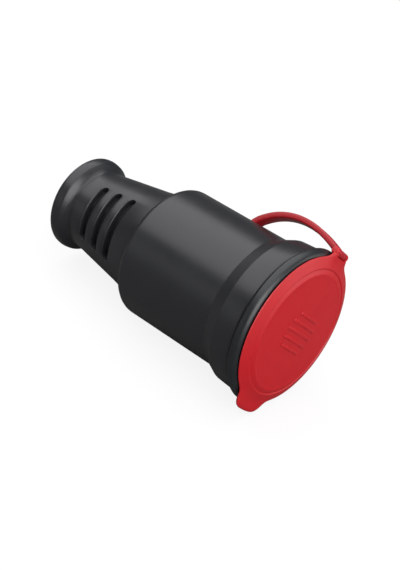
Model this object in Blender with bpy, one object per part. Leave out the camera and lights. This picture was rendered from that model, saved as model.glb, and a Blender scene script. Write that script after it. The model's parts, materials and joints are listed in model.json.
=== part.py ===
"""Portable earthed socket connector with a rubber housing, a screwed socket insert and a strapped lid.

The coupler is built along its own axis: +X runs out of the socket's mouth and x = 0 is the underside
of the closed lid, +Z points to the strap, and -Y is the side that the cable clamp's screws face.
An empty then lays it down as it comes to rest, on the rim and the barrel, leaning on the finger tab.
All sizes are in metres.
"""

import math

import bmesh
import bpy
from mathutils import Matrix, Vector

# Clearances
GAP = 0.0003
PIN_GAP = 0.00025
SPIGOT_GAP = 0.0004

# Facets of the turned pieces
ROUND = 54
SMALL_ROUND = 18

# Socket well and the insert round it
WELL_R = 0.0197
WELL_DEPTH = 0.0175
WELL_RIM = 0.0049
RECESS_DEPTH = 0.0050
RECESS_WALL = 0.0017
INSERT_WALL = 0.0027
INSERT_COLLAR_REACH = 0.0010
FLOOR_THICK = 0.0035
INSERT_SKIRT = 0.0040
SKIRT_WALL = 0.0020
KEY_WIDTH = 0.0052
KEY_HEIGHT = 0.0015
BEAD_HEIGHT = 0.0006
BEAD_LENGTH = 0.0024

# Contacts
PIN_PITCH = 0.0190
PIN_HOLE_R = 0.0027
TUBE_R = 0.0034
TUBE_BORE_R = 0.00245
TUBE_LENGTH = 0.0150
TUBE_SLIT = 0.0008
TERMINAL_LENGTH = 0.0075
TERMINAL_SIDE = 0.0070
WIRE_HOLE_R = 0.0017
SPRING_WALL = 0.0006
SPRING_LENGTH = 0.0050
STRIP_THICK = 0.0008
STRIP_WIDTH = 0.0060
CLIP_BULGE = 0.0020
CLIP_REACH = 0.0140

# Screws
TERMINAL_SCREW_R = 0.0013
TERMINAL_HEAD_R = 0.0024
TERMINAL_HEAD = 0.0016
CENTRE_SCREW_R = 0.0017
CENTRE_HEAD_R = 0.0032
CENTRE_HEAD = 0.0018
NUT_R = 0.0038
NUT_THICK = 0.0026
CLAMP_SCREW_R = 0.0015
CLAMP_HEAD_R = 0.0028
CLAMP_HEAD = 0.0020
SLOT_WIDTH = 0.0007
SLOT_DEPTH = 0.0008

# Terminal block and cable clamp
TERMINAL_SET_BACK = 0.0002
CLAMP_LENGTH = 0.0150
CLAMP_HALF_WIDTH = 0.0125
CLAMP_SCREW_Z = 0.0093
CRADLE_THICK = 0.0048
SADDLE_LENGTH = 0.0080
SADDLE_THICK = 0.0040
CABLE_R = 0.0050
JAW_HALF_GAP = 0.0020
CLAMP_TIP_INSET = 0.0005

# Housing
BARREL_WALL = 0.0042
COLLAR_WALL = 0.0027
COLLAR_DRAFT = 0.0006
NECK_WALL = 0.0047
COLLAR_LENGTH = 0.0090
TRANSITION_LENGTH = 0.0056
BARREL_LENGTH = 0.0428
SHOULDER_LENGTH = 0.0038
SHOULDER_ROUND = 0.0032
SHOULDER_FILLET = 0.0016
NECK_LENGTH = 0.0370
NECK_FRONT_R = 0.0219
NECK_REAR_R = 0.0161
FLARE_LENGTH = 0.0072
FLARE_R = 0.01965
FLARE_BAND_R = 0.0034
FLARE_LIP_R = 0.0016
FLARE_ROOT_R = 0.0010
FLARE_BAND_SET = 0.0010
FLARE_MOUTH_R = 0.0168
MOUTH_ROUND = 0.0042
SHOULDER_WALL = 0.0034

# Bend relief grooves in the neck
GROOVES_A_SIDE = 3
GROOVE_PITCH = 0.0077
GROOVE_FIRST = 0.0102
GROOVE_WIDTH = 0.0036
GROOVE_DEPTH = 0.0024
GROOVE_START = 61.5
GROOVE_END = 138.5
GROOVE_END_ROUND = 0.0015

# Grommet
GROMMET_SET = 0.0040
GROMMET_WALL = 0.0039
GROMMET_LENGTH = 0.0120
GROMMET_LIP = 0.0016
GROMMET_LIP_LENGTH = 0.0016
GROMMET_BORE_R = 0.0046

# Rim and its seal
RIM_LENGTH = 0.0040
RIM_STEP = 0.0013
RIM_FRONT_ROUND = 0.0030
RIM_BACK_ROUND = 0.0010
SEAL_WIDTH = 0.0011
SEAL_THICK = 0.0009
SEAL_INSET = 0.0015

# Lid
LID_STEP = 0.0012
LID_EDGE = 0.0004
LID_BEVEL_WIDTH = 0.0044
LID_BEVEL_HEIGHT = 0.00196
LID_GROOVE_WIDTH = 0.0005
LID_GROOVE_DEPTH = 0.0002
LID_LIP_SLOPE = 0.0017
LID_LIP_WIDTH = 0.0010
LID_LIP_HEIGHT = 0.00046
LID_LIP_FALL = 0.00012
LID_DOME = 0.00028
LID_SHELL = 0.0017
SPIGOT_WALL = 0.0020
SPIGOT_DEPTH = 0.0042
LID_SEAL_WALL = 0.0013
LID_SEAL_LENGTH = 0.0020
TAB_REACH = 0.0041
TAB_HALF_WIDTH = 0.0070
TAB_CORNER = 0.0025
TAB_CROWN = 0.0003
TAB_FRONT = 0.0011
TAB_BACK = 0.0022
TAB_FILLET = 0.0060
TAB_WAIST = 0.0028
TAB_ROOT = 0.0006
EAR_THICK = 0.0020
EAR_FOOT = 0.0095
EAR_FRONT = 0.0016
LID_UNDERCUT = 0.00015

# Strap and hinge
EYE_R = 0.0015
HINGE_RISE = 0.0005
PIN_R = 0.0006
STRAP_WIDTH = 0.0060
STRAP_THICK = 0.0023
STRAP_ROOT = 0.0175
STRAP_RISE = 52.0
STRAP_REAR_REACH = 0.0167
STRAP_FALL = 25.0
STRAP_FRONT_REACH = 0.0115
STRAP_STEPS = 18
ANCHOR_HEAD_THICK = 0.0014
ANCHOR_HEAD_LIP = 0.0016

# Radii that follow
INSERT_R = WELL_R + INSERT_WALL
CHAMBER_R = INSERT_R + GAP
BARREL_R = CHAMBER_R + BARREL_WALL
RECESS_R = WELL_R + WELL_RIM
INSERT_COLLAR_R = RECESS_R + RECESS_WALL
COLLAR_BORE_R = INSERT_COLLAR_R + GAP
COLLAR_BACK_R = COLLAR_BORE_R + COLLAR_WALL
COLLAR_FRONT_R = COLLAR_BACK_R + COLLAR_DRAFT
RIM_R = COLLAR_FRONT_R + RIM_STEP
LID_R = RIM_R - LID_STEP
LID_FACE_R = LID_R - LID_BEVEL_WIDTH
LID_SEAL_R = RECESS_R - SPIGOT_GAP
SPIGOT_R = LID_SEAL_R - LID_SEAL_WALL - GAP
BLOCK_R = INSERT_R - SKIRT_WALL - GAP
HINGE_R = LID_R + EYE_R + HINGE_RISE
TAB_TIP_R = LID_R + TAB_REACH
GROMMET_SEAT_R = NECK_REAR_R - GROMMET_WALL
GROMMET_R = GROMMET_SEAT_R - GAP

# Stations along the axis, from the lid back to the cable end
RIM_FRONT = -GAP
RIM_BACK = RIM_FRONT - RIM_LENGTH
HOUSING_FRONT = RIM_BACK - GAP
COLLAR_BACK = HOUSING_FRONT - COLLAR_LENGTH
TRANSITION_BACK = COLLAR_BACK - TRANSITION_LENGTH
BARREL_BACK = TRANSITION_BACK - BARREL_LENGTH
NECK_FRONT = BARREL_BACK - SHOULDER_LENGTH
NECK_BACK = NECK_FRONT - NECK_LENGTH
FLARE_BACK = NECK_BACK - FLARE_LENGTH
RECESS_FLOOR = RIM_FRONT - RECESS_DEPTH
WELL_FLOOR = RECESS_FLOOR - WELL_DEPTH
FLOOR_BACK = WELL_FLOOR - FLOOR_THICK
SKIRT_BACK = FLOOR_BACK - INSERT_SKIRT
BLOCK_FRONT = FLOOR_BACK - GAP
TERMINAL_FRONT = BLOCK_FRONT - GAP - TUBE_LENGTH
TERMINAL_MIDDLE = TERMINAL_FRONT - TERMINAL_LENGTH / 2
BLOCK_BACK = TERMINAL_FRONT - TERMINAL_LENGTH - TERMINAL_SET_BACK
CLAMP_BACK = BLOCK_BACK - CLAMP_LENGTH
SADDLE_X = BLOCK_BACK - CLAMP_LENGTH / 2
HINGE_X = RIM_FRONT
STRAP_ROOT_X = TRANSITION_BACK - STRAP_ROOT

NECK_SLOPE = (NECK_FRONT_R - NECK_REAR_R) / NECK_LENGTH


def clear_scene() -> None:
    """Remove what the scene holds."""
    for thing in list(bpy.data.objects):
        bpy.data.objects.remove(thing, do_unlink=True)


clear_scene()
PARTS = bpy.data.collections.new("socket_connector")
CUTTERS = bpy.data.collections.new("cutters")
bpy.context.scene.collection.children.link(PARTS)
bpy.context.scene.collection.children.link(CUTTERS)

REST = bpy.data.objects.new("rest_pose", None)
PARTS.objects.link(REST)
HINGE = bpy.data.objects.new("lid_hinge", None)
PARTS.objects.link(HINGE)
HINGE.parent = REST
HINGE.location = (HINGE_X, 0.0, HINGE_R)


def material(name, colour, roughness, metallic=0.0):
    """A Principled BSDF with one colour."""
    made = bpy.data.materials.new(name)
    made.use_nodes = True
    shader = made.node_tree.nodes["Principled BSDF"]
    shader.inputs["Base Color"].default_value = (*colour, 1.0)
    shader.inputs["Roughness"].default_value = roughness
    shader.inputs["Metallic"].default_value = metallic
    made.diffuse_color = (*colour, 1.0)
    return made


BLACK_RUBBER = material("black_rubber", (0.035, 0.036, 0.038), 0.55)
BLACK_PLASTIC = material("black_plastic", (0.025, 0.026, 0.030), 0.35)
GREY_PLASTIC = material("grey_plastic", (0.42, 0.42, 0.41), 0.50)
RED_PLASTIC = material("red_plastic", (0.60, 0.03, 0.05), 0.40)
SEAL_RUBBER = material("seal_rubber", (0.05, 0.05, 0.05), 0.60)
BRASS = material("brass", (0.80, 0.60, 0.25), 0.30, 1.0)
STEEL = material("steel", (0.62, 0.62, 0.60), 0.28, 1.0)


def place(name, mesh, finish, hinged=False):
    """Put a mesh into the model, on the coupler's axis or on the lid's hinge."""
    thing = bpy.data.objects.new(name, mesh)
    mesh.materials.append(finish)
    PARTS.objects.link(thing)
    thing.parent = HINGE if hinged else REST
    if hinged:
        thing.matrix_parent_inverse = Matrix.Translation(HINGE.location).inverted()
    return thing


def guide(name, mesh, hinged=False):
    """Put a cutter, or a shape to be joined, among the hidden guides."""
    thing = bpy.data.objects.new(name, mesh)
    CUTTERS.objects.link(thing)
    thing.hide_render = True
    thing.display_type = "WIRE"
    thing.parent = HINGE if hinged else REST
    if hinged:
        thing.matrix_parent_inverse = Matrix.Translation(HINGE.location).inverted()
    return thing


def boolean(thing, other, operation="DIFFERENCE"):
    """Cut one object with another, or join them."""
    step = thing.modifiers.new(other.name, "BOOLEAN")
    step.operation = operation
    step.object = other
    step.solver = "EXACT"


def arc(x, r, radius, start, end, steps):
    """Points of an arc in the (x, r) plane, angles in degrees from +x towards +r."""
    angles = [math.radians(start + (end - start) * i / steps) for i in range(steps + 1)]
    return [(x + radius * math.cos(a), r + radius * math.sin(a)) for a in angles]


def turned_mesh(name, profile, facets=ROUND, closed=True):
    """Turn an (x, r) profile round the X axis. The profile runs down its outer side towards -X."""
    bm = bmesh.new()
    points = [bm.verts.new((x, 0.0, -r)) for x, r in profile]
    edges = [bm.edges.new(pair) for pair in zip(points, points[1:])]
    if closed:
        edges.append(bm.edges.new((points[-1], points[0])))
    bmesh.ops.spin(
        bm, geom=points + edges, cent=(0, 0, 0), axis=(1, 0, 0), dvec=(0, 0, 0),
        angle=math.tau, steps=facets, use_merge=True, use_duplicate=False,
    )
    bmesh.ops.remove_doubles(bm, verts=bm.verts, dist=1e-7)
    bmesh.ops.recalc_face_normals(bm, faces=bm.faces)
    mesh = bpy.data.meshes.new(name)
    bm.to_mesh(mesh)
    bm.free()
    return mesh


def box_mesh(name, low, high):
    """A box between two corners."""
    low, high = Vector(low), Vector(high)
    bm = bmesh.new()
    size = Matrix.Diagonal((high - low).to_4d())
    bmesh.ops.create_cube(bm, size=1.0, matrix=Matrix.Translation((low + high) / 2) @ size)
    mesh = bpy.data.meshes.new(name)
    bm.to_mesh(mesh)
    bm.free()
    return mesh


def rod_mesh(name, start, end, radius, facets=SMALL_ROUND):
    """A rod between two points."""
    start, end = Vector(start), Vector(end)
    way = end - start
    turn = way.to_track_quat("Z", "Y").to_matrix().to_4x4()
    bm = bmesh.new()
    bmesh.ops.create_cone(
        bm, cap_ends=True, segments=facets, radius1=radius, radius2=radius, depth=way.length,
        matrix=Matrix.Translation((start + end) / 2) @ turn,
    )
    mesh = bpy.data.meshes.new(name)
    bm.to_mesh(mesh)
    bm.free()
    return mesh


def plate_mesh(name, outline, thickness, frame):
    """A flat outline given its thickness, half to each side, with its plane's axes and centre in frame."""
    curve = bpy.data.curves.new(name, "CURVE")
    curve.dimensions = "2D"
    curve.fill_mode = "BOTH"
    curve.extrude = thickness / 2
    spline = curve.splines.new("POLY")
    spline.points.add(len(outline) - 1)
    for point, (u, v) in zip(spline.points, outline):
        point.co = (u, v, 0.0, 1.0)
    spline.use_cyclic_u = True
    flat = bpy.data.objects.new(name, curve)
    CUTTERS.objects.link(flat)
    bpy.context.view_layer.update()
    mesh = bpy.data.meshes.new_from_object(flat.evaluated_get(bpy.context.evaluated_depsgraph_get()))
    bpy.data.objects.remove(flat)
    bm = bmesh.new()
    bm.from_mesh(mesh)
    bmesh.ops.remove_doubles(bm, verts=bm.verts, dist=1e-7)
    bmesh.ops.transform(bm, matrix=frame, verts=bm.verts)
    bmesh.ops.recalc_face_normals(bm, faces=bm.faces)
    bm.to_mesh(mesh)
    bm.free()
    mesh.name = name
    return mesh


SIDE_VIEW = Matrix(((1, 0, 0, 0), (0, 0, -1, 0), (0, 1, 0, 0), (0, 0, 0, 1)))


def face_view(x):
    """The frame of an outline drawn in (y, z) at one station of the axis."""
    return Matrix(((0, 0, 1, x), (1, 0, 0, 0), (0, 1, 0, 0), (0, 0, 0, 1)))


def ribbon(path, thickness):
    """The outline of a band of even thickness along a path."""
    sides = ([], [])
    for i, point in enumerate(path):
        before = Vector(path[max(i - 1, 0)])
        after = Vector(path[min(i + 1, len(path) - 1)])
        here = Vector(point)
        first = (here - before).normalized() if i else (after - here).normalized()
        second = (after - here).normalized() if i < len(path) - 1 else first
        along = (first + second).normalized()
        across = Vector((-along.y, along.x)) * (thickness / 2 / max(along.dot(first), 0.5))
        sides[0].append(tuple(here + across))
        sides[1].append(tuple(here - across))
    return sides[0] + sides[1][::-1]


def screw_mesh(name, tip, seat, direction, shank_r, head_r, head):
    """A slotted screw from its tip to the underside of its head, with its slot across the head."""
    direction = Vector(direction)
    tip, seat = Vector(tip), Vector(seat)
    top = seat + direction * head
    shank = (seat - tip).length
    profile = [
        (shank + head, 0.0), (shank + head, head_r - SLOT_WIDTH / 2), (shank + head * 0.6, head_r),
        (shank, head_r), (shank, shank_r), (shank_r * 0.6, shank_r), (0.0, shank_r * 0.5), (0.0, 0.0),
    ]
    bm = bmesh.new()
    points = [bm.verts.new((r, 0.0, x)) for x, r in profile]
    edges = [bm.edges.new(pair) for pair in zip(points, points[1:])]
    bmesh.ops.spin(
        bm, geom=points + edges, cent=(0, 0, 0), axis=(0, 0, 1), dvec=(0, 0, 0),
        angle=math.tau, steps=SMALL_ROUND, use_merge=True, use_duplicate=False,
    )
    bmesh.ops.remove_doubles(bm, verts=bm.verts, dist=1e-7)
    turn = direction.to_track_quat("Z", "Y").to_matrix().to_4x4()
    bmesh.ops.transform(bm, matrix=Matrix.Translation(tip) @ turn, verts=bm.verts)
    bmesh.ops.recalc_face_normals(bm, faces=bm.faces)
    mesh = bpy.data.meshes.new(name)
    bm.to_mesh(mesh)
    bm.free()
    across = turn.to_3x3() @ Vector((1, 0, 0))
    return mesh, top, across


def add_screw(name, tip, seat, direction, shank_r, head_r, head):
    """A screw with its driver slot cut."""
    mesh, top, across = screw_mesh(name, tip, seat, direction, shank_r, head_r, head)
    screw = place(name, mesh, STEEL)
    deep = Vector(direction) * SLOT_DEPTH
    half = across * (head_r + GAP)
    thick = Vector(direction).cross(across) * (SLOT_WIDTH / 2)
    corners = [top + half + thick + deep, top - half - thick - deep]
    low = [min(c[i] for c in corners) for i in range(3)]
    high = [max(c[i] for c in corners) for i in range(3)]
    boolean(screw, guide(name + "_slot", box_mesh(name + "_slot", low, high)))
    return screw


def neck_radius(x):
    """Outer radius of the neck's cone at one station."""
    return NECK_REAR_R + NECK_SLOPE * (x - NECK_BACK)


def at_groove_end(face, x, side):
    """Whether a cutter's face closes one of the groove's two ends."""
    middle = face.calc_center_median()
    angle = math.degrees(math.atan2(side * middle.y, middle.z))
    off_end = min(abs(angle - GROOVE_START), abs(angle - GROOVE_END))
    return abs(middle.x - x) < GROOVE_WIDTH / 4 and off_end < 0.5


def groove_cutter(name, x, side):
    """A curved cutter with rounded ends for one bend relief groove."""
    bm = bmesh.new()
    inner = neck_radius(x) - GROOVE_DEPTH
    outer = neck_radius(x) + GROOVE_DEPTH
    half = GROOVE_WIDTH / 2
    start = math.radians(GROOVE_START)
    way = Vector((0.0, side * math.sin(start), math.cos(start)))
    ring = [(x - half, inner), (x + half, inner), (x + half, outer), (x - half, outer)]
    points = [bm.verts.new(Vector((px, 0.0, 0.0)) + way * pr) for px, pr in ring]
    face = bm.faces.new(points)
    bmesh.ops.spin(
        bm, geom=[face] + list(face.edges) + points, cent=(0, 0, 0), axis=(1, 0, 0), dvec=(0, 0, 0),
        angle=-side * math.radians(GROOVE_END - GROOVE_START), steps=11, use_merge=False, use_duplicate=False,
    )
    bmesh.ops.recalc_face_normals(bm, faces=bm.faces)
    ends = [
        edge for edge in bm.edges
        if abs(edge.verts[0].co.yz.length - edge.verts[1].co.yz.length) > GROOVE_DEPTH
        and edge.calc_face_angle() > math.radians(60.0)
        and any(abs(face.normal.x) < 0.5 and len(face.verts) == 4 and at_groove_end(face, x, side)
                for face in edge.link_faces)
    ]
    bmesh.ops.bevel(
        bm, geom=ends, affect="EDGES", offset=GROOVE_END_ROUND, segments=3, profile=0.5, material=-1,
    )
    mesh = bpy.data.meshes.new(name)
    bm.to_mesh(mesh)
    bm.free()
    return guide(name, mesh)


def strap_path():
    """Centre line of the strap from the barrel to the hinge, a single Bezier span."""
    rise, fall = math.radians(STRAP_RISE), math.radians(STRAP_FALL)
    root = Vector((STRAP_ROOT_X, BARREL_R))
    end = Vector((HINGE_X, HINGE_R))
    first = root + STRAP_REAR_REACH * Vector((math.cos(rise), math.sin(rise)))
    second = end + STRAP_FRONT_REACH * Vector((-math.cos(fall), math.sin(fall)))
    points = []
    for i in range(STRAP_STEPS + 1):
        t = i / STRAP_STEPS
        s = 1 - t
        points.append(s ** 3 * root + 3 * s * s * t * first + 3 * s * t * t * second + t ** 3 * end)
    return points


def barrel_end():
    """Station where the barrel turns into its rounded shoulder."""
    return BARREL_BACK + 0.45 * SHOULDER_ROUND


def build_housing():
    """The rubber housing: collar, barrel, shoulder, slotted neck and flared end in one moulding."""
    edge = GAP
    shoulder_x = barrel_end()
    outer = [
        (HOUSING_FRONT, COLLAR_BORE_R), (HOUSING_FRONT, COLLAR_FRONT_R - edge),
        (HOUSING_FRONT - edge, COLLAR_FRONT_R),
        (COLLAR_BACK + edge, COLLAR_BACK_R), (COLLAR_BACK - edge, COLLAR_BACK_R - edge),
        (TRANSITION_BACK + edge, BARREL_R + edge), (TRANSITION_BACK - 2 * edge, BARREL_R),
    ]
    outer += arc(shoulder_x, BARREL_R - SHOULDER_ROUND, SHOULDER_ROUND, 90, 174, 4)
    fillet_x = shoulder_x - SHOULDER_ROUND - SHOULDER_FILLET
    outer += arc(fillet_x, neck_radius(fillet_x) + SHOULDER_FILLET, SHOULDER_FILLET, -15, -75, 2)
    outer += arc(NECK_BACK, NECK_REAR_R + FLARE_ROOT_R, FLARE_ROOT_R, -90, -160, 2)
    band_x = FLARE_BACK + FLARE_LIP_R + FLARE_BAND_SET
    outer += arc(band_x, FLARE_R - FLARE_BAND_R, FLARE_BAND_R, 20, 90, 3)
    outer += arc(FLARE_BACK + FLARE_LIP_R, FLARE_R - FLARE_LIP_R, FLARE_LIP_R, 90, 180, 3)
    lip_front = grommet_back() - GAP
    inner = arc(FLARE_BACK + MOUTH_ROUND, FLARE_MOUTH_R, MOUTH_ROUND, 180, 270, 3)
    inner += [
        (lip_front - GROMMET_LIP_LENGTH, FLARE_MOUTH_R - MOUTH_ROUND),
        (lip_front - GROMMET_LIP_LENGTH, GROMMET_SEAT_R - GROMMET_LIP),
        (lip_front, GROMMET_SEAT_R - GROMMET_LIP), (lip_front, GROMMET_SEAT_R),
        (lip_front + GROMMET_LENGTH + 2 * GAP, GROMMET_SEAT_R),
    ]
    rear_bore = lip_front + GROMMET_LENGTH + NECK_WALL
    inner += [
        (rear_bore, neck_radius(rear_bore) - NECK_WALL), (NECK_FRONT, NECK_FRONT_R - NECK_WALL),
        (BARREL_BACK + SHOULDER_WALL, CHAMBER_R),
    ]
    inner += bead_line(GAP, CHAMBER_R, BEAD_HEIGHT)[::-1]
    inner += [insert_step(GAP)[1], insert_step(GAP)[0]]
    housing = place("housing", turned_mesh("housing", outer + inner), BLACK_RUBBER)
    for side in (-1, 1):
        for i in range(GROOVES_A_SIDE):
            x = NECK_BACK + GROOVE_FIRST + i * GROOVE_PITCH
            word = "near" if side < 0 else "far"
            boolean(housing, groove_cutter(f"groove_{word}_{i}", x, side))
    stem = (STRAP_THICK / 2 + GAP, STRAP_WIDTH / 2 + GAP)
    hole = box_mesh(
        "strap_hole", (STRAP_ROOT_X - stem[0], -stem[1], 0),
        (STRAP_ROOT_X + stem[0] + GAP, stem[1], BARREL_R + GAP),
    )
    boolean(housing, keep_above(guide("strap_hole", hole), CHAMBER_R - GAP))
    lip = ANCHOR_HEAD_LIP
    pocket = box_mesh(
        "strap_pocket", (STRAP_ROOT_X - stem[0] - lip, -stem[1] - lip, 0),
        (STRAP_ROOT_X + stem[0] + lip, stem[1] + lip, CHAMBER_R + ANCHOR_HEAD_THICK + GAP),
    )
    boolean(housing, keep_above(guide("strap_pocket", pocket), CHAMBER_R - 2 * GAP - EYE_R))
    return housing


def keep_above(thing, z):
    """Lift a box cutter's lower face to one height."""
    for vertex in thing.data.vertices:
        if vertex.co.z < z:
            vertex.co.z = z
    return thing


def grommet_back():
    """Station of the grommet's rear face."""
    return NECK_BACK + GROMMET_SET


def bead_line(extra, base_r, height):
    """The snap bead on the insert's skirt, or its groove in the housing, front to back."""
    middle = SKIRT_BACK + BEAD_LENGTH
    half = BEAD_LENGTH / 2 + extra
    return [
        (middle + half, base_r), (middle + half / 2, base_r + height),
        (middle - half / 2, base_r + height), (middle - half, base_r),
    ]


def insert_step(extra):
    """The step from the insert's collar to its body, with a clearance outwards."""
    front = COLLAR_BACK - INSERT_COLLAR_REACH - extra
    back = front - (INSERT_COLLAR_R - INSERT_R)
    return (front, INSERT_COLLAR_R + extra), (back, INSERT_R + extra)


def build_insert():
    """The moulded socket insert: rim, seal recess, well, floor and rear skirt."""
    profile = [
        (FLOOR_BACK, 0.0), (WELL_FLOOR, 0.0), (WELL_FLOOR, WELL_R), (RECESS_FLOOR, WELL_R),
        (RECESS_FLOOR, RECESS_R), (RIM_FRONT, RECESS_R),
    ]
    profile += arc(RIM_FRONT - RIM_FRONT_ROUND, RIM_R - RIM_FRONT_ROUND, RIM_FRONT_ROUND, 0, 90, 4)
    profile += arc(RIM_BACK + RIM_BACK_ROUND, RIM_R - RIM_BACK_ROUND, RIM_BACK_ROUND, 90, 180, 2)
    seal_outer = COLLAR_FRONT_R - SEAL_INSET + GAP
    seal_inner = seal_outer - SEAL_WIDTH - 2 * GAP
    groove = RIM_BACK + SEAL_THICK + GAP
    profile += [(RIM_BACK, seal_outer), (groove, seal_outer), (groove, seal_inner), (RIM_BACK, seal_inner)]
    profile += [(RIM_BACK, INSERT_COLLAR_R), *insert_step(0.0)]
    profile += bead_line(0.0, INSERT_R, BEAD_HEIGHT)
    profile += [(SKIRT_BACK, INSERT_R), (SKIRT_BACK, INSERT_R - SKIRT_WALL)]
    profile += [(FLOOR_BACK, INSERT_R - SKIRT_WALL), (FLOOR_BACK, 0.0)]
    mesh = turned_mesh("socket_insert", profile[1:], closed=False)
    insert = place("socket_insert", mesh, BLACK_PLASTIC)
    for side, word in ((-1, "near"), (1, "far")):
        inner, outer = side * (WELL_R - KEY_HEIGHT), side * (WELL_R + INSERT_WALL / 2)
        key = box_mesh(
            f"key_{word}", (WELL_FLOOR - FLOOR_THICK / 2, min(inner, outer), -KEY_WIDTH / 2),
            (RECESS_FLOOR - RECESS_WALL, max(inner, outer), KEY_WIDTH / 2),
        )
        boolean(insert, guide(f"key_{word}", key), "UNION")
    for side, word in ((-1, "near"), (1, "far")):
        y = side * PIN_PITCH / 2
        hole = rod_mesh(
            f"pin_hole_{word}", (WELL_FLOOR + GAP, y, 0), (FLOOR_BACK - GAP, y, 0), PIN_HOLE_R, 32)
        boolean(insert, guide(f"pin_hole_{word}", hole))
    for side, word in ((-1, "lower"), (1, "upper")):
        inner, outer = leg_radius() - CLIP_BULGE / 2 - STRIP_THICK, leg_radius() + STRIP_THICK / 2 + GAP
        z = [side * inner, side * outer]
        slot = box_mesh(
            f"clip_slot_{word}", (FLOOR_BACK - GAP, -STRIP_WIDTH / 2 - GAP, min(z)),
            (WELL_FLOOR + GAP, STRIP_WIDTH / 2 + GAP, max(z)),
        )
        boolean(insert, guide(f"clip_slot_{word}", slot))
    hole_r, sink_r = CENTRE_SCREW_R + GAP, CENTRE_HEAD_R + GAP
    front, step, back = WELL_FLOOR + GAP, centre_seat() - GAP, FLOOR_BACK - GAP
    hole = [(front, 0.0), (front, sink_r), (step, sink_r), (step, hole_r), (back, hole_r), (back, 0.0)]
    mesh = turned_mesh("centre_hole", hole, SMALL_ROUND, closed=False)
    boolean(insert, guide("centre_hole", mesh))
    return insert


def centre_seat():
    """Station of the underside of the centre screw's head."""
    return WELL_FLOOR - CENTRE_HEAD


def leg_radius():
    """Distance of the earth clip's legs from the axis."""
    return WELL_R - STRIP_THICK / 2 - 2 * GAP


def build_earth_bracket():
    """The bent earth strip with its two side clips, joined to its terminal."""
    foot = BLOCK_FRONT - GAP - STRIP_THICK / 2
    root = WELL_FLOOR + STRIP_THICK
    middle = root + CLIP_REACH / 2
    tip = root + CLIP_REACH
    leg = leg_radius()
    path = [
        (tip, leg - CLIP_BULGE * 0.3), (tip - CLIP_REACH * 0.12, leg - CLIP_BULGE * 0.5),
        (middle + CLIP_REACH * 0.1, leg - CLIP_BULGE), (middle - CLIP_REACH * 0.15, leg - CLIP_BULGE * 0.8),
        (root, leg - STRIP_THICK / 2), (foot + STRIP_THICK, leg - STRIP_THICK / 2),
        (foot, leg - STRIP_THICK * 1.5),
    ]
    path += [(x, -z) for x, z in reversed(path)]
    mesh = plate_mesh("earth_bracket", ribbon(path, STRIP_THICK), STRIP_WIDTH, SIDE_VIEW)
    bracket = place("earth_bracket", mesh, STEEL)
    z = -earth_terminal_z()
    half = TERMINAL_SIDE / 2
    stalk = box_mesh(
        "earth_stalk", (TERMINAL_FRONT - GAP, -STRIP_WIDTH / 2, z - STRIP_THICK / 2),
        (foot, STRIP_WIDTH / 2, z + STRIP_THICK / 2),
    )
    block = box_mesh(
        "earth_terminal", (TERMINAL_FRONT - TERMINAL_LENGTH, -half, z - half),
        (TERMINAL_FRONT, half, z + half * 0.6),
    )
    boolean(bracket, guide("earth_stalk", stalk), "UNION")
    boolean(bracket, guide("earth_terminal", block), "UNION")
    boolean(bracket, guide("earth_wire_hole", rod_mesh(
        "earth_wire_hole", (TERMINAL_FRONT - TERMINAL_LENGTH - GAP, 0, z), (TERMINAL_FRONT - 3 * GAP, 0, z),
        WIRE_HOLE_R)))
    boolean(bracket, guide("earth_screw_hole", rod_mesh(
        "earth_screw_hole", (TERMINAL_MIDDLE, 0, z - half - GAP), (TERMINAL_MIDDLE, 0, z),
        TERMINAL_SCREW_R + GAP)))
    boolean(bracket, guide("strip_screw_hole", rod_mesh(
        "strip_screw_hole", (foot - STRIP_THICK, 0, 0), (foot + STRIP_THICK, 0, 0), CENTRE_SCREW_R + 2 * GAP)))
    seat = z - half - GAP
    add_screw(
        "earth_screw", (TERMINAL_MIDDLE, 0, z - WIRE_HOLE_R * 0.2), (TERMINAL_MIDDLE, 0, seat), (0, 0, -1),
        TERMINAL_SCREW_R, TERMINAL_HEAD_R, TERMINAL_HEAD)


def earth_terminal_z():
    """Height of the earth terminal below the axis."""
    return BLOCK_R - TERMINAL_SIDE


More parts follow.
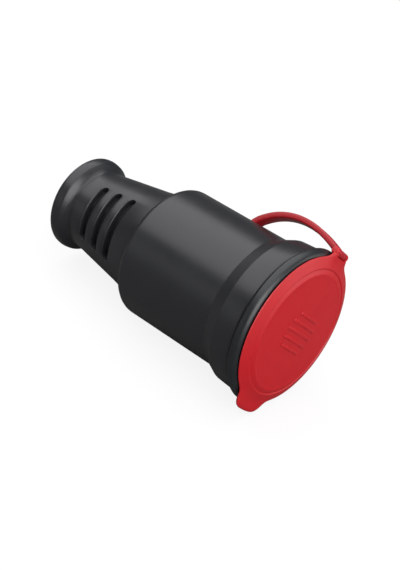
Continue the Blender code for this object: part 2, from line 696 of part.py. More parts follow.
def build_contact(word, side):
    """A split contact tube with its terminal, its spring ring and its terminal screw."""
    y = side * PIN_PITCH / 2
    name = f"{word}_contact"
    front = TERMINAL_FRONT + TUBE_LENGTH - GAP
    contact = place(name, rod_mesh(name, (TERMINAL_FRONT - GAP, y, 0), (front, y, 0), TUBE_R), BRASS)
    half = TERMINAL_SIDE / 2
    block = box_mesh(
        f"{word}_terminal", (TERMINAL_FRONT - TERMINAL_LENGTH, y - half, -half),
        (TERMINAL_FRONT, y + half, half),
    )
    boolean(contact, guide(f"{word}_terminal", block), "UNION")
    boolean(contact, guide(f"{word}_bore", rod_mesh(
        f"{word}_bore", (TERMINAL_FRONT + GAP, y, 0), (front + GAP, y, 0), TUBE_BORE_R)))
    slit = box_mesh(
        f"{word}_slit", (front - TUBE_LENGTH * 0.7, y - TUBE_SLIT / 2, -TUBE_R - GAP),
        (front + GAP, y + TUBE_SLIT / 2, TUBE_R + GAP))
    boolean(contact, guide(f"{word}_slit", slit))
    x = TERMINAL_MIDDLE
    boolean(contact, guide(f"{word}_wire_hole", rod_mesh(
        f"{word}_wire_hole", (TERMINAL_FRONT - TERMINAL_LENGTH - GAP, y, 0), (TERMINAL_FRONT - 3 * GAP, y, 0),
        WIRE_HOLE_R)))
    boolean(contact, guide(f"{word}_screw_hole", rod_mesh(
        f"{word}_screw_hole", (x, y, 0), (x, y, half + GAP), TERMINAL_SCREW_R + GAP)))
    add_screw(
        f"{word}_screw", (x, y, WIRE_HOLE_R * 0.2), (x, y, half + GAP), (0, 0, 1),
        TERMINAL_SCREW_R, TERMINAL_HEAD_R, TERMINAL_HEAD)
    spring_front = front - 2 * SPRING_WALL
    inner = TUBE_R + PIN_GAP
    ring = [
        (spring_front, inner), (spring_front, inner + SPRING_WALL),
        (spring_front - SPRING_LENGTH, inner + SPRING_WALL), (spring_front - SPRING_LENGTH, inner),
    ]
    mesh = turned_mesh(f"{word}_spring", ring, SMALL_ROUND)
    mesh.transform(Matrix.Translation((0, y, 0)))
    spring = place(f"{word}_spring", mesh, STEEL)
    split = box_mesh(
        f"{word}_spring_split", (spring_front - SPRING_LENGTH - GAP, y - TUBE_SLIT, -inner - 2 * SPRING_WALL),
        (spring_front + GAP, y + TUBE_SLIT, 0))
    boolean(spring, guide(f"{word}_spring_split", split))


def build_block():
    """The terminal block with its contact bores, open terminal chambers and the clamp's cradle."""
    profile = [(BLOCK_FRONT, 0.0), (BLOCK_FRONT, BLOCK_R), (BLOCK_BACK, BLOCK_R), (BLOCK_BACK, 0.0)]
    block = place("terminal_block", turned_mesh("terminal_block", profile, 48, closed=False), GREY_PLASTIC)
    cradle = box_mesh(
        "cradle", (CLAMP_BACK, JAW_HALF_GAP, -CLAMP_HALF_WIDTH),
        (BLOCK_BACK + CRADLE_THICK, JAW_HALF_GAP + CRADLE_THICK, CLAMP_HALF_WIDTH),
    )
    boolean(block, guide("cradle", cradle), "UNION")
    trough = rod_mesh("trough", (CLAMP_BACK - GAP, 0, 0), (BLOCK_BACK + GAP, 0, 0), CABLE_R, 32)
    boolean(block, guide("trough", trough))
    chamber_front = TERMINAL_FRONT + GAP
    chamber_back = BLOCK_BACK - GAP
    half = TERMINAL_SIDE / 2 + GAP
    for side, word in ((-1, "near"), (1, "far")):
        y = side * PIN_PITCH / 2
        bore = rod_mesh(
            f"tube_bore_{word}", (chamber_front - GAP, y, 0), (BLOCK_FRONT + GAP, y, 0), TUBE_R + GAP, 32)
        boolean(block, guide(f"tube_bore_{word}", bore))
        spring_back = BLOCK_FRONT - 3 * SPRING_WALL - SPRING_LENGTH
        wide = TUBE_R + PIN_GAP + SPRING_WALL + GAP
        bore = rod_mesh(f"spring_bore_{word}", (spring_back, y, 0), (BLOCK_FRONT + GAP, y, 0), wide, 32)
        boolean(block, guide(f"spring_bore_{word}", bore))
        room = box_mesh(
            f"chamber_{word}", (chamber_back, y - half, -half), (chamber_front, y + half, BLOCK_R + GAP))
        boolean(block, guide(f"chamber_{word}", room))
    z = -earth_terminal_z()
    room = box_mesh("chamber_earth", (chamber_back, -half, -BLOCK_R - GAP), (chamber_front, half, z + half))
    boolean(block, guide("chamber_earth", room))
    channel = box_mesh(
        "strip_channel", (BLOCK_FRONT - STRIP_THICK - 2 * GAP, -STRIP_WIDTH / 2 - GAP, -BLOCK_R - GAP),
        (BLOCK_FRONT + GAP, STRIP_WIDTH / 2 + GAP, BLOCK_R + GAP))
    boolean(block, guide("strip_channel", channel))
    pass_through = box_mesh(
        "stalk_slot", (chamber_front - GAP, -STRIP_WIDTH / 2 - GAP, z - STRIP_THICK / 2 - GAP),
        (BLOCK_FRONT, STRIP_WIDTH / 2 + GAP, z + STRIP_THICK / 2 + GAP))
    boolean(block, guide("stalk_slot", pass_through))
    boolean(block, guide("block_centre_hole", rod_mesh(
        "block_centre_hole", (BLOCK_BACK - GAP, 0, 0), (BLOCK_FRONT + GAP, 0, 0), CENTRE_SCREW_R + GAP)))
    boolean(block, guide("nut_pocket", rod_mesh(
        "nut_pocket", (BLOCK_BACK - GAP, 0, 0), (nut_front() + GAP, 0, 0), NUT_R + GAP, 6)))
    for side, word in ((-1, "lower"), (1, "upper")):
        z = side * CLAMP_SCREW_Z
        hole = rod_mesh(
            f"clamp_hole_{word}", (SADDLE_X, 0, z), (SADDLE_X, CABLE_R + CRADLE_THICK, z),
            CLAMP_SCREW_R + PIN_GAP,
        )
        boolean(block, guide(f"clamp_hole_{word}", hole))


def nut_front():
    """Station of the centre nut's front face."""
    return TERMINAL_FRONT + NUT_THICK


def build_centre_screw():
    """The long screw that holds the insert on the terminal block, and its nut."""
    add_screw(
        "centre_screw", (nut_front() - NUT_THICK - 2 * GAP, 0, 0), (centre_seat(), 0, 0), (1, 0, 0),
        CENTRE_SCREW_R, CENTRE_HEAD_R, CENTRE_HEAD - GAP)
    nut = place("centre_nut", rod_mesh(
        "centre_nut", (nut_front() - NUT_THICK, 0, 0), (nut_front(), 0, 0), NUT_R, 6), BRASS)
    boolean(nut, guide("nut_hole", rod_mesh(
        "nut_hole", (nut_front() - NUT_THICK - GAP, 0, 0), (nut_front() + GAP, 0, 0),
        CENTRE_SCREW_R + PIN_GAP)))


def build_clamp():
    """The clamp's saddle across the cable and its two screws."""
    top = -JAW_HALF_GAP
    saddle = place("clamp_saddle", box_mesh(
        "clamp_saddle", (SADDLE_X - SADDLE_LENGTH / 2, top - SADDLE_THICK, -CLAMP_HALF_WIDTH),
        (SADDLE_X + SADDLE_LENGTH / 2, top, CLAMP_HALF_WIDTH)), GREY_PLASTIC)
    boolean(saddle, guide("saddle_trough", rod_mesh(
        "saddle_trough", (SADDLE_X - SADDLE_LENGTH, 0, 0), (SADDLE_X + SADDLE_LENGTH, 0, 0), CABLE_R, 32)))
    for side, word in ((-1, "lower"), (1, "upper")):
        z = side * CLAMP_SCREW_Z
        hole = rod_mesh(
            f"saddle_hole_{word}", (SADDLE_X, top - SADDLE_THICK - GAP, z), (SADDLE_X, top + GAP, z),
            CLAMP_SCREW_R + PIN_GAP)
        boolean(saddle, guide(f"saddle_hole_{word}", hole))
        add_screw(
            f"clamp_screw_{word}", (SADDLE_X, JAW_HALF_GAP + CRADLE_THICK - CLAMP_TIP_INSET, z),
            (SADDLE_X, top - SADDLE_THICK - GAP, z), (0, -1, 0), CLAMP_SCREW_R, CLAMP_HEAD_R, CLAMP_HEAD)


def build_seals():
    """The flange seal, the lid's seal and the cable grommet."""
    outer = COLLAR_FRONT_R - SEAL_INSET
    back = RIM_BACK
    front = back + SEAL_THICK
    ring = [(front, outer - SEAL_WIDTH), (front, outer), (back, outer), (back, outer - SEAL_WIDTH)]
    place("flange_seal", turned_mesh("flange_seal", ring), SEAL_RUBBER)
    front = RIM_FRONT
    inner = LID_SEAL_R - LID_SEAL_WALL
    ring = [
        (front, inner), (front, LID_SEAL_R - GAP), (front - LID_SEAL_LENGTH / 2, LID_SEAL_R),
        (front - LID_SEAL_LENGTH, LID_SEAL_R - GAP), (front - LID_SEAL_LENGTH, inner),
    ]
    place("lid_seal", turned_mesh("lid_seal", ring), SEAL_RUBBER, hinged=True)
    back = grommet_back()
    front = back + GROMMET_LENGTH
    ring = [
        (front, GROMMET_BORE_R + GROMMET_LIP), (front, GROMMET_R - GAP), (front - 2 * GAP, GROMMET_R),
        (back, GROMMET_R), (back, GROMMET_BORE_R + GROMMET_LIP * 0.6), (back + GROMMET_LIP, GROMMET_BORE_R),
        (front - GROMMET_LIP, GROMMET_BORE_R),
    ]
    place("cable_grommet", turned_mesh("cable_grommet", ring, 48), SEAL_RUBBER)


def tab_outline():
    """The finger tab in (y, z), from one concave fillet round the tip to the other."""
    corner_z = -(TAB_TIP_R - TAB_CROWN - TAB_CORNER)
    corner_y = TAB_HALF_WIDTH - TAB_CORNER
    half = [(0.0, -TAB_TIP_R)]
    half += [(corner_y + TAB_CORNER * math.sin(a), corner_z - TAB_CORNER * math.cos(a))
             for a in (math.radians(d) for d in (0, 25, 50, 72))]
    spread = TAB_HALF_WIDTH + TAB_FILLET
    edge_z = -math.sqrt(LID_R ** 2 - (spread + TAB_FILLET * 0.3) ** 2)
    half += [(spread - TAB_FILLET * 0.55, edge_z - TAB_WAIST), (spread, edge_z - TAB_ROOT)]
    half.append((spread, -LID_FACE_R * 0.7))
    return half + [(-y, z) for y, z in reversed(half[1:])]


def ear_outline():
    """The web under the hinge ears in (y, z), spreading into the lid's edge."""
    top_y = STRAP_WIDTH / 2 + GAP + EAR_THICK - LID_UNDERCUT
    half = [
        (top_y, HINGE_R), (top_y, LID_R + HINGE_RISE), (top_y + (EAR_FOOT - top_y) * 0.35, LID_R - HINGE_RISE),
        (EAR_FOOT, LID_R - 4 * HINGE_RISE), (EAR_FOOT, LID_FACE_R * 0.9),
    ]
    return half + [(-y, z) for y, z in reversed(half)]


def build_lid():
    """The lid: domed disc in a raised lip, spigot, finger tab and two hinge ears in one moulding."""
    shell_in = SPIGOT_R - SPIGOT_WALL
    lip_x = LID_BEVEL_HEIGHT + LID_LIP_HEIGHT
    crown = lip_x + LID_DOME
    groove_r = LID_FACE_R - LID_GROOVE_WIDTH
    lip_r = groove_r - LID_LIP_SLOPE
    disc_r = lip_r - LID_LIP_WIDTH
    profile = [
        (crown, 0.0), (crown - LID_DOME * 0.35, disc_r * 0.5), (lip_x - LID_LIP_FALL, disc_r), (lip_x, lip_r),
        (LID_BEVEL_HEIGHT - LID_GROOVE_DEPTH, groove_r), (LID_BEVEL_HEIGHT, LID_FACE_R),
        (LID_BEVEL_HEIGHT * 0.72, LID_FACE_R + LID_BEVEL_WIDTH * 0.5), (LID_EDGE, LID_R - LID_EDGE / 4),
        (0.0, LID_R), (0.0, SPIGOT_R), (-SPIGOT_DEPTH + GAP, SPIGOT_R), (-SPIGOT_DEPTH, SPIGOT_R - GAP),
        (-SPIGOT_DEPTH, shell_in), (LID_BEVEL_HEIGHT - LID_SHELL, shell_in), (crown - LID_SHELL, 0.0),
    ]
    lid = place("lid", turned_mesh("lid", profile, closed=False), RED_PLASTIC, hinged=True)
    thick = TAB_FRONT + TAB_BACK
    tab = plate_mesh("tab", tab_outline(), thick, face_view((TAB_FRONT - TAB_BACK) / 2))
    tab = guide("tab", tab, hinged=True)
    relief = rod_mesh("tab_relief", (-2 * TAB_BACK, 0, 0), (LID_UNDERCUT, 0, 0), RIM_R + GAP, ROUND)
    boolean(tab, guide("tab_relief", relief, hinged=True))
    boolean(lid, tab, "UNION")
    thick = EAR_FRONT - LID_UNDERCUT
    web = plate_mesh("ear_web", ear_outline(), thick, face_view(LID_UNDERCUT + thick / 2))
    web = guide("ear_web", web, hinged=True)
    boolean(lid, web, "UNION")
    half = STRAP_WIDTH / 2 + GAP + EAR_THICK
    boss = rod_mesh("ear_boss", (HINGE_X, -half, HINGE_R), (HINGE_X, half, HINGE_R), EYE_R)
    boolean(lid, guide("ear_boss", boss, hinged=True), "UNION")
    notch = box_mesh(
        "eye_notch", (HINGE_X - 3 * EYE_R, -STRAP_WIDTH / 2 - GAP, HINGE_R - EYE_R - GAP),
        (HINGE_X + 3 * EYE_R, STRAP_WIDTH / 2 + GAP, HINGE_R + 2 * EYE_R))
    boolean(lid, guide("eye_notch", notch, hinged=True))
    hole = rod_mesh("ear_hole", (HINGE_X, -2 * half, HINGE_R), (HINGE_X, 2 * half, HINGE_R), PIN_R + PIN_GAP)
    boolean(lid, guide("ear_hole", hole, hinged=True))
    pin = rod_mesh("hinge_pin", (HINGE_X, -half, HINGE_R), (HINGE_X, half, HINGE_R), PIN_R)
    place("hinge_pin", pin, STEEL, hinged=True)
    return lid


def build_strap():
    """The strap: arched band, hinge eye and the mushroom anchor inside the barrel."""
    head_top = CHAMBER_R + ANCHOR_HEAD_THICK
    stem = [(STRAP_ROOT_X, CHAMBER_R + ANCHOR_HEAD_THICK / 2), (STRAP_ROOT_X, BARREL_R - STRAP_THICK)]
    path = stem + [tuple(point) for point in strap_path()]
    mesh = plate_mesh("lid_strap", ribbon(path, STRAP_THICK), STRAP_WIDTH, SIDE_VIEW)
    strap = place("lid_strap", mesh, RED_PLASTIC)
    half = STRAP_WIDTH / 2
    inset = half - GAP / 2
    eye = rod_mesh("strap_eye", (HINGE_X, -inset, HINGE_R), (HINGE_X, inset, HINGE_R), EYE_R)
    boolean(strap, guide("strap_eye", eye), "UNION")
    lip = ANCHOR_HEAD_LIP
    head = box_mesh(
        "anchor_head", (STRAP_ROOT_X - STRAP_THICK / 2 - lip, -half - lip, CHAMBER_R),
        (STRAP_ROOT_X + STRAP_THICK / 2 + lip, half + lip, head_top))
    boolean(strap, guide("anchor_head", head), "UNION")
    hole = rod_mesh("eye_hole", (HINGE_X, -2 * half, HINGE_R), (HINGE_X, 2 * half, HINGE_R), PIN_R + PIN_GAP)
    boolean(strap, guide("eye_hole", hole))
    return strap


def lean_angle():
    """Roll from strap upright until a facet of the rim lies flat and the tab is just clear of the floor."""
    facet = math.tau / ROUND
    corner = Vector((TAB_HALF_WIDTH - TAB_CORNER, TAB_TIP_R - TAB_CROWN - TAB_CORNER))
    reach = min(1.0, (RIM_R * math.cos(facet / 2) - TAB_CORNER) / corner.length)
    touch = math.atan2(corner.x, corner.y) + math.acos(reach)
    return (math.ceil(touch / facet - 0.5) + 0.5) * facet


def tilt_angle():
    """Pitch of the axis when the barrel's rear end and the widest part of the front are on the floor."""
    front = [
        (RIM_BACK + RIM_BACK_ROUND, RIM_R), (COLLAR_BACK + GAP, COLLAR_BACK_R), (HOUSING_FRONT, COLLAR_FRONT_R),
    ]
    return max(math.atan2(r - BARREL_R, x - barrel_end()) for x, r in front)


def lay_down():
    """Turn the coupler as it comes to rest and set the bottom centre of its box on the origin."""
    REST.rotation_euler = (-lean_angle(), -tilt_angle(), 0.0)
    bpy.context.view_layer.update()
    graph = bpy.context.evaluated_depsgraph_get()
    points = []
    for thing in PARTS.objects:
        if thing.type != "MESH":
            continue
        final = thing.evaluated_get(graph)
        points += [final.matrix_world @ vertex.co for vertex in final.data.vertices]
    low = [min(p[i] for p in points) for i in range(3)]
    high = [max(p[i] for p in points) for i in range(3)]
    REST.location = (-(low[0] + high[0]) / 2, -(low[1] + high[1]) / 2, -low[2])


def main():
    """Build every piece and lay the coupler down."""
    build_housing()
    build_insert()
    build_block()
    build_contact("line", -1)
    build_contact("neutral", 1)
    build_earth_bracket()
    build_centre_screw()
    build_clamp()
    build_seals()
    build_lid()
    build_strap()
    for thing in PARTS.objects:
        if thing.type == "MESH":
            thing.data.shade_smooth()
            thing.data.set_sharp_from_angle(angle=math.radians(30.0))
    lay_down()


main()
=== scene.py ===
"""Looks of a portable rubber socket connector with a strapped lid.

Every piece is drawn in millimetres in the coupler's own frame: +X runs out of the socket's mouth, +Z
points to the strap, and x = 0 is the underside of the closed lid. The frame's place in the world
comes from the record's hinge and plug face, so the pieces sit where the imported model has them.
"""

import json
import logging
import math
from collections.abc import Iterable, Sequence
from dataclasses import dataclass, field
from enum import Enum

import bmesh
import bpy
from mathutils import Matrix, Vector


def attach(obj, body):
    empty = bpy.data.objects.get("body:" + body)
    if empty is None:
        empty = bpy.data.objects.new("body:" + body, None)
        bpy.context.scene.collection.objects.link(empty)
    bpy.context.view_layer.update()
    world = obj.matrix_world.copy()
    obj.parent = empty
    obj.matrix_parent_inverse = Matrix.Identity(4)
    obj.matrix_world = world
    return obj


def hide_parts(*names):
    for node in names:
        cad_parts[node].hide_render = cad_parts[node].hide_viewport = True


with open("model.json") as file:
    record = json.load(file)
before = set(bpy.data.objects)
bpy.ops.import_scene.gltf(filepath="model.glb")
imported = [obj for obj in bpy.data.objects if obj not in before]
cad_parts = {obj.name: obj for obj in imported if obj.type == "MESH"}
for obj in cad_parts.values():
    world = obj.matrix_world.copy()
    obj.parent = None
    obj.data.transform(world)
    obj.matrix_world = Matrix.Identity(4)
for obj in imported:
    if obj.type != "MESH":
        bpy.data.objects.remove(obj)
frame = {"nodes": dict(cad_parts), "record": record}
LOG = logging.getLogger("socket_connector")

MM = 0.001
FULL_TURN = math.tau

Point2 = tuple[float, float]
Corner = tuple[float, float, float]

# An edge counts as rubbed where its rounded normal leaves the face's by this much, and only where it points out.
EDGE_MATCH: Point2 = (0.995, 0.90)
OUTER_EDGE: Point2 = (0.50, 0.54)
WEAR_PATCHES: Point2 = (0.38, 0.62)


class Body(Enum):
    """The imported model's rigid bodies."""

    HOUSING = "housing"
    LID = "lid"


class Slot(Enum):
    """The record's material slots."""

    BLACK_RUBBER = "black_rubber"
    BLACK_PLASTIC = "black_plastic"
    GREY_PLASTIC = "grey_plastic"
    RED_PLASTIC = "red_plastic"
    SEAL_RUBBER = "seal_rubber"
    BRASS = "brass"
    STEEL = "steel"


class Side(Enum):
    """The two sides of the coupler's mirror plane."""

    NEAR = -1
    FAR = 1


def linear(hex_colour: str) -> tuple[float, float, float, float]:
    """Turn an sRGB hex colour into linear RGBA.

    Args:
        hex_colour: six hex digits, with or without a leading hash.

    Returns:
        The linear colour with an alpha of one.
    """
    digits = hex_colour.lstrip("#")
    channels = [int(digits[i : i + 2], 16) / 255 for i in (0, 2, 4)]
    red, green, blue = (c / 12.92 if c <= 0.04045 else ((c + 0.055) / 1.055) ** 2.4 for c in channels)
    return red, green, blue, 1.0


def add_node(
    tree: bpy.types.NodeTree,
    kind: str,
    values: dict[str | int, object] | None = None,
    links: dict[str | int, bpy.types.NodeSocket] | None = None,
    **settings: object,
) -> bpy.types.Node:
    """Add a node with its settings, socket values and incoming links.

    Args:
        tree: the node tree that gets the node.
        kind: the node's type name.
        values: input socket values by name or index.
        links: output sockets to join to inputs, by input name or index.
        **settings: properties of the node itself.

    Returns:
        The new node.
    """
    node = tree.nodes.new(kind)
    for name, value in settings.items():
        setattr(node, name, value)
    for key, value in (values or {}).items():
        node.inputs[key].default_value = value
    for key, socket in (links or {}).items():
        tree.links.new(socket, node.inputs[key])
    return node


@dataclass(frozen=True)
class Finish:
    """A surface finish: what every moulded or drawn surface here has in common.

    Colour and shade are the tones it wanders between, and worn is the tone of its rubbed edges. Grain, cloud,
    wear and edge sizes are millimetres on the part. Real grain is finer than the picture can show, so it is
    drawn coarser here.
    """

    name: str
    colour: str
    shade: str
    roughness: float
    slot: Slot
    metallic: float = 0.0
    ior: float = 1.5
    grain_mm: float = 0.3
    grain_depth_mm: float = 0.01
    cloud_mm: float = 9.0
    roughness_swing: float = 0.06
    sheen: float = 0.0
    worn: str = "#4a4b4d"
    wear: float = 0.5
    wear_mm: float = 1.6
    edge_mm: float = 0.35

    def build(self) -> bpy.types.Material:
        """Make the material: clouds of tone and polish, with a fine grain in the surface.

        Returns:
            The finished material.
        """
        material = bpy.data.materials.new(self.name)
        material.use_nodes = True
        tree = material.node_tree
        shader = tree.nodes["Principled BSDF"]
        place = add_node(tree, "ShaderNodeTexCoord").outputs["Object"]
        clouds = add_node(
            tree, "ShaderNodeTexNoise", {"Scale": 1 / (self.cloud_mm * MM), "Detail": 3.0}, {"Vector": place}
        )
        tone = add_node(
            tree,
            "ShaderNodeMix",
            {6: linear(self.colour), 7: linear(self.shade)},
            {0: clouds.outputs["Fac"]},
            data_type="RGBA",
        )
        worn = self.rubbed_edges(tree, place)
        rubbed = add_node(
            tree, "ShaderNodeMix", {7: linear(self.worn)}, {0: worn, 6: tone.outputs[2]}, data_type="RGBA"
        )
        polish = add_node(
            tree,
            "ShaderNodeMapRange",
            {3: self.roughness - self.roughness_swing, 4: self.roughness + self.roughness_swing},
            {0: clouds.outputs["Fac"]},
        )
        tree.links.new(rubbed.outputs[2], shader.inputs["Base Color"])
        tree.links.new(polish.outputs[0], shader.inputs["Roughness"])
        tree.links.new(self.relief(tree, place), shader.inputs["Normal"])
        shader.inputs["Metallic"].default_value = self.metallic
        if not self.metallic:
            shader.inputs["IOR"].default_value = self.ior
        shader.inputs["Sheen Weight"].default_value = self.sheen
        return material

    def rubbed_edges(self, tree: bpy.types.NodeTree, place: bpy.types.NodeSocket) -> bpy.types.NodeSocket:
        """Find the outer edges that handling has rubbed, in broken patches.

        Args:
            tree: the material's node tree.
            place: the object coordinates.

        Returns:
            The socket that carries the wear, from nothing to its full share.
        """
        surface = add_node(tree, "ShaderNodeNewGeometry")
        rounded_off = add_node(tree, "ShaderNodeBevel", {"Radius": self.edge_mm * MM})
        match = add_node(
            tree, "ShaderNodeVectorMath", None, {0: rounded_off.outputs[0], 1: surface.outputs["True Normal"]},
            operation="DOT_PRODUCT",
        )
        turn = add_node(
            tree, "ShaderNodeMapRange", {1: EDGE_MATCH[0], 2: EDGE_MATCH[1], 4: self.wear}, {0: match.outputs["Value"]}
        )
        outer = add_node(
            tree, "ShaderNodeMapRange", {1: OUTER_EDGE[0], 2: OUTER_EDGE[1]}, {0: surface.outputs["Pointiness"]}
        )
        edges = add_node(
            tree, "ShaderNodeMath", None, {0: turn.outputs[0], 1: outer.outputs[0]}, operation="MULTIPLY"
        )
        patches = add_node(
            tree, "ShaderNodeTexNoise", {"Scale": 1 / (self.wear_mm * MM), "Detail": 3.0}, {"Vector": place}
        )
        broken = add_node(
            tree, "ShaderNodeMapRange", {1: WEAR_PATCHES[0], 2: WEAR_PATCHES[1]}, {0: patches.outputs["Fac"]}
        )
        return add_node(
            tree, "ShaderNodeMath", None, {0: edges.outputs[0], 1: broken.outputs[0]}, operation="MULTIPLY"
        ).outputs[0]

    def grain_place(self, tree: bpy.types.NodeTree, place: bpy.types.NodeSocket) -> bpy.types.NodeSocket:
        """Give the coordinates of the grain, which runs the same every way."""
        return place

    def relief(self, tree: bpy.types.NodeTree, place: bpy.types.NodeSocket) -> bpy.types.NodeSocket:
        """Add the surface's fine relief.

        Args:
            tree: the material's node tree.
            place: the object coordinates.

        Returns:
            The socket that carries the bumped normal.
        """
        grain = add_node(
            tree, "ShaderNodeTexNoise", {"Scale": 1 / (self.grain_mm * MM), "Detail": 2.0},
            {"Vector": self.grain_place(tree, place)},
        )
        bump = add_node(
            tree, "ShaderNodeBump", {"Strength": 1.0, "Distance": self.grain_depth_mm * MM},
            {"Height": grain.outputs["Fac"]},
        )
        return bump.outputs["Normal"]


@dataclass(frozen=True)
class DrawnMetal(Finish):
    """A metal drawn or rolled along the coupler's axis, which leaves fine lines that way."""

    line_stretch: float = 18.0

    def grain_place(self, tree: bpy.types.NodeTree, place: bpy.types.NodeSocket) -> bpy.types.NodeSocket:
        """Stretch the grain into lines along the coupler."""
        scale = (1 / self.line_stretch, 1.0, 1.0)
        return add_node(tree, "ShaderNodeMapping", {"Scale": scale}, {"Vector": place}).outputs[0]


class Finishes:
    """The coupler's finishes, each made once."""

    # Injection-moulded chloroprene rubber from an eroded tool: near black, with a wide soft highlight.
    HOUSING = Finish("moulded_black_rubber", "#232427", "#27282b", 0.31, Slot.BLACK_RUBBER)
    # The collar ring is harder polyamide, moulded smooth, so it has a tighter highlight. Its near-black is tinted
    # cool, a painted tint for the bluish sheen that it reflects.
    INSERT = Finish(
        "moulded_black_polyamide", "#17191c", "#1c1f22", 0.38, Slot.BLACK_PLASTIC, ior=1.53, grain_depth_mm=0.004
    )
    # Polypropylene from a finely eroded tool: a satin red face.
    LID_FACE = Finish(
        "moulded_red_polypropylene_satin", "#ba0e19", "#b00c17", 0.42, Slot.RED_PLASTIC, grain_depth_mm=0.006,
        worn="#cf3a41",
    )
    # The same polypropylene where the tool is polished: the rim round the face catches the lamps. Its red is also
    # lighter than the face's, which is a painted highlight on the rim.
    LID_RIM = Finish(
        "moulded_red_polypropylene_polished_painted_highlight", "#cc0a12", "#c2090f", 0.20, Slot.RED_PLASTIC, grain_depth_mm=0.002,
        worn="#d93d42",
    )
    # The strap is the softer grade of the same plastic, slightly duller.
    STRAP = Finish(
        "moulded_red_elastomer", "#a8141f", "#9c121c", 0.40, Slot.RED_PLASTIC, grain_depth_mm=0.006, worn="#bd3a41"
    )
    # Pressed soft seal rubber: matt and a little dusty.
    SEAL = Finish("pressed_seal_rubber", "#1b1b1b", "#222221", 0.62, Slot.SEAL_RUBBER, sheen=0.1)
    # Filled thermoset from a ground tool: matt light grey.
    BLOCK = Finish("moulded_grey_thermoset", "#a9a9a6", "#9d9d9a", 0.50, Slot.GREY_PLASTIC, worn="#bfbfbc")
    # Drawn brass, bright, with draw lines along the tube.
    BRASS = DrawnMetal(
        "drawn_brass", "#d9b465", "#cfa555", 0.26, Slot.BRASS, metallic=1.0, grain_mm=0.12, worn="#efd596"
    )
    # Nickel-plated steel strip and screws: bright grey with fine rolling lines.
    STEEL = DrawnMetal(
        "nickel_plated_steel", "#c9c8c4", "#bdbcb8", 0.24, Slot.STEEL, metallic=1.0, grain_mm=0.12, worn="#dededa"
    )

    def __init__(self) -> None:
        """Start with nothing made."""
        self._made: dict[str, bpy.types.Material] = {}

    def of(self, finish: Finish) -> bpy.types.Material:
        """Give a finish's material, made at its first use.

        Args:
            finish: the finish that is wanted.

        Returns:
            Its material.
        """
        if finish.name not in self._made:
            self._made[finish.name] = finish.build()
        return self._made[finish.name]


@dataclass(frozen=True)
class CouplerAxes:
    """Where the coupler's own frame lies in the world."""

    to_world: Matrix

    @classmethod
    def from_record(cls, record: dict, hinge_x: float, hinge_r: float) -> "CouplerAxes":
        """Work the frame out from the hinge and the plug face.

        Args:
            record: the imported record.
            hinge_x: the hinge's station on the axis in millimetres.
            hinge_r: the hinge's distance from the axis in millimetres.

        Returns:
            The frame, which also turns millimetres into metres.
        """
        hinge = record["behaviour"]["joints"][0]
        mouth = next(m for m in record["mounts"] if m["name"] == "plug_face")
        along = Vector(mouth["axis"]).normalized()
        up = along.cross(-Vector(hinge["axis"])).normalized()
        across = up.cross(along)
        origin = Vector(hinge["pos_m"]) - (along * hinge_x + up * hinge_r) * MM
        turn = Matrix((along, across, up)).transposed()
        return cls(Matrix.Translation(origin) @ turn.to_4x4() @ Matrix.Scale(MM, 4))

    def direction(self, local: Sequence[float]) -> Vector:
        """Turn a direction of the coupler's frame into a unit vector of the world."""
        return (self.to_world.to_3x3() @ Vector(local)).normalized()

    def point(self, local: Sequence[float]) -> Vector:
        """Turn a point in millimetres on the coupler into a point of the world."""
        return self.to_world @ Vector(local)


def rounded(corners: Iterable[Corner], closed: bool = False, step: float = 14.0) -> list[Point2]:
    """Round the corners of an outline.

    Args:
        corners: each corner's two coordinates and its radius.
        closed: whether the last corner joins the first.
        step: degrees of turn for each chord of a rounded corner.

    Returns:
        The outline's points.
    """
    marks = [(Vector(c[:2]), c[2]) for c in corners]
    points: list[Point2] = []
    for i, (here, radius) in enumerate(marks):
        if radius <= 0 or (not closed and i in (0, len(marks) - 1)):
            points.append(tuple(here))
            continue
        before = marks[i - 1][0] - here
        after = marks[(i + 1) % len(marks)][0] - here
        half = before.angle(after) / 2
        run = min(radius / math.tan(half), 0.499 * before.length, 0.499 * after.length)
        radius = run * math.tan(half)
        centre = here + (before.normalized() + after.normalized()).normalized() * (radius / math.sin(half))
        start = here + before.normalized() * run - centre
        turn = start.angle_signed(here + after.normalized() * run - centre)
        chords = max(1, math.ceil(abs(math.degrees(turn)) / step))
        for k in range(chords + 1):
            arm = start.copy()
            arm.rotate(Matrix.Rotation(-turn * k / chords, 2))
            points.append(tuple(centre + arm))
    return points


def arc(centre: Point2, radius: float, start: float, end: float, step: float = 7.5) -> list[Point2]:
    """Lay points along an arc of an outline.

    Args:
        centre: the arc's centre.
        radius: its radius.
        start: degrees where it starts, counted from the first axis towards the second.
        end: degrees where it ends.
        step: degrees of turn for each chord.

    Returns:
        The arc's points.
    """
    chords = max(1, round(abs(end - start) / step))
    angles = [math.radians(start + (end - start) * i / chords) for i in range(chords + 1)]
    return [(centre[0] + radius * math.cos(a), centre[1] + radius * math.sin(a)) for a in angles]


def turned(outline: Sequence[Point2], facets: int = 144, closed: bool = True) -> bmesh.types.BMesh:
    """Turn an outline of (station, radius) points round the coupler's axis.

    Args:
        outline: the points in millimetres.
        facets: steps of the turn.
        closed: whether the last point joins the first.

    Returns:
        A closed mesh with its faces outwards.
    """
    bm = bmesh.new()
    points = [bm.verts.new((x, 0.0, -r)) for x, r in outline]
    edges = [bm.edges.new(pair) for pair in zip(points, points[1:])]
    if closed:
        edges.append(bm.edges.new((points[-1], points[0])))
    bmesh.ops.spin(
        bm, geom=points + edges, cent=(0, 0, 0), axis=(1, 0, 0), dvec=(0, 0, 0), angle=FULL_TURN, steps=facets,
        use_merge=True, use_duplicate=False,
    )
    bmesh.ops.remove_doubles(bm, verts=bm.verts, dist=1e-5)
    bmesh.ops.recalc_face_normals(bm, faces=bm.faces)
    return bm


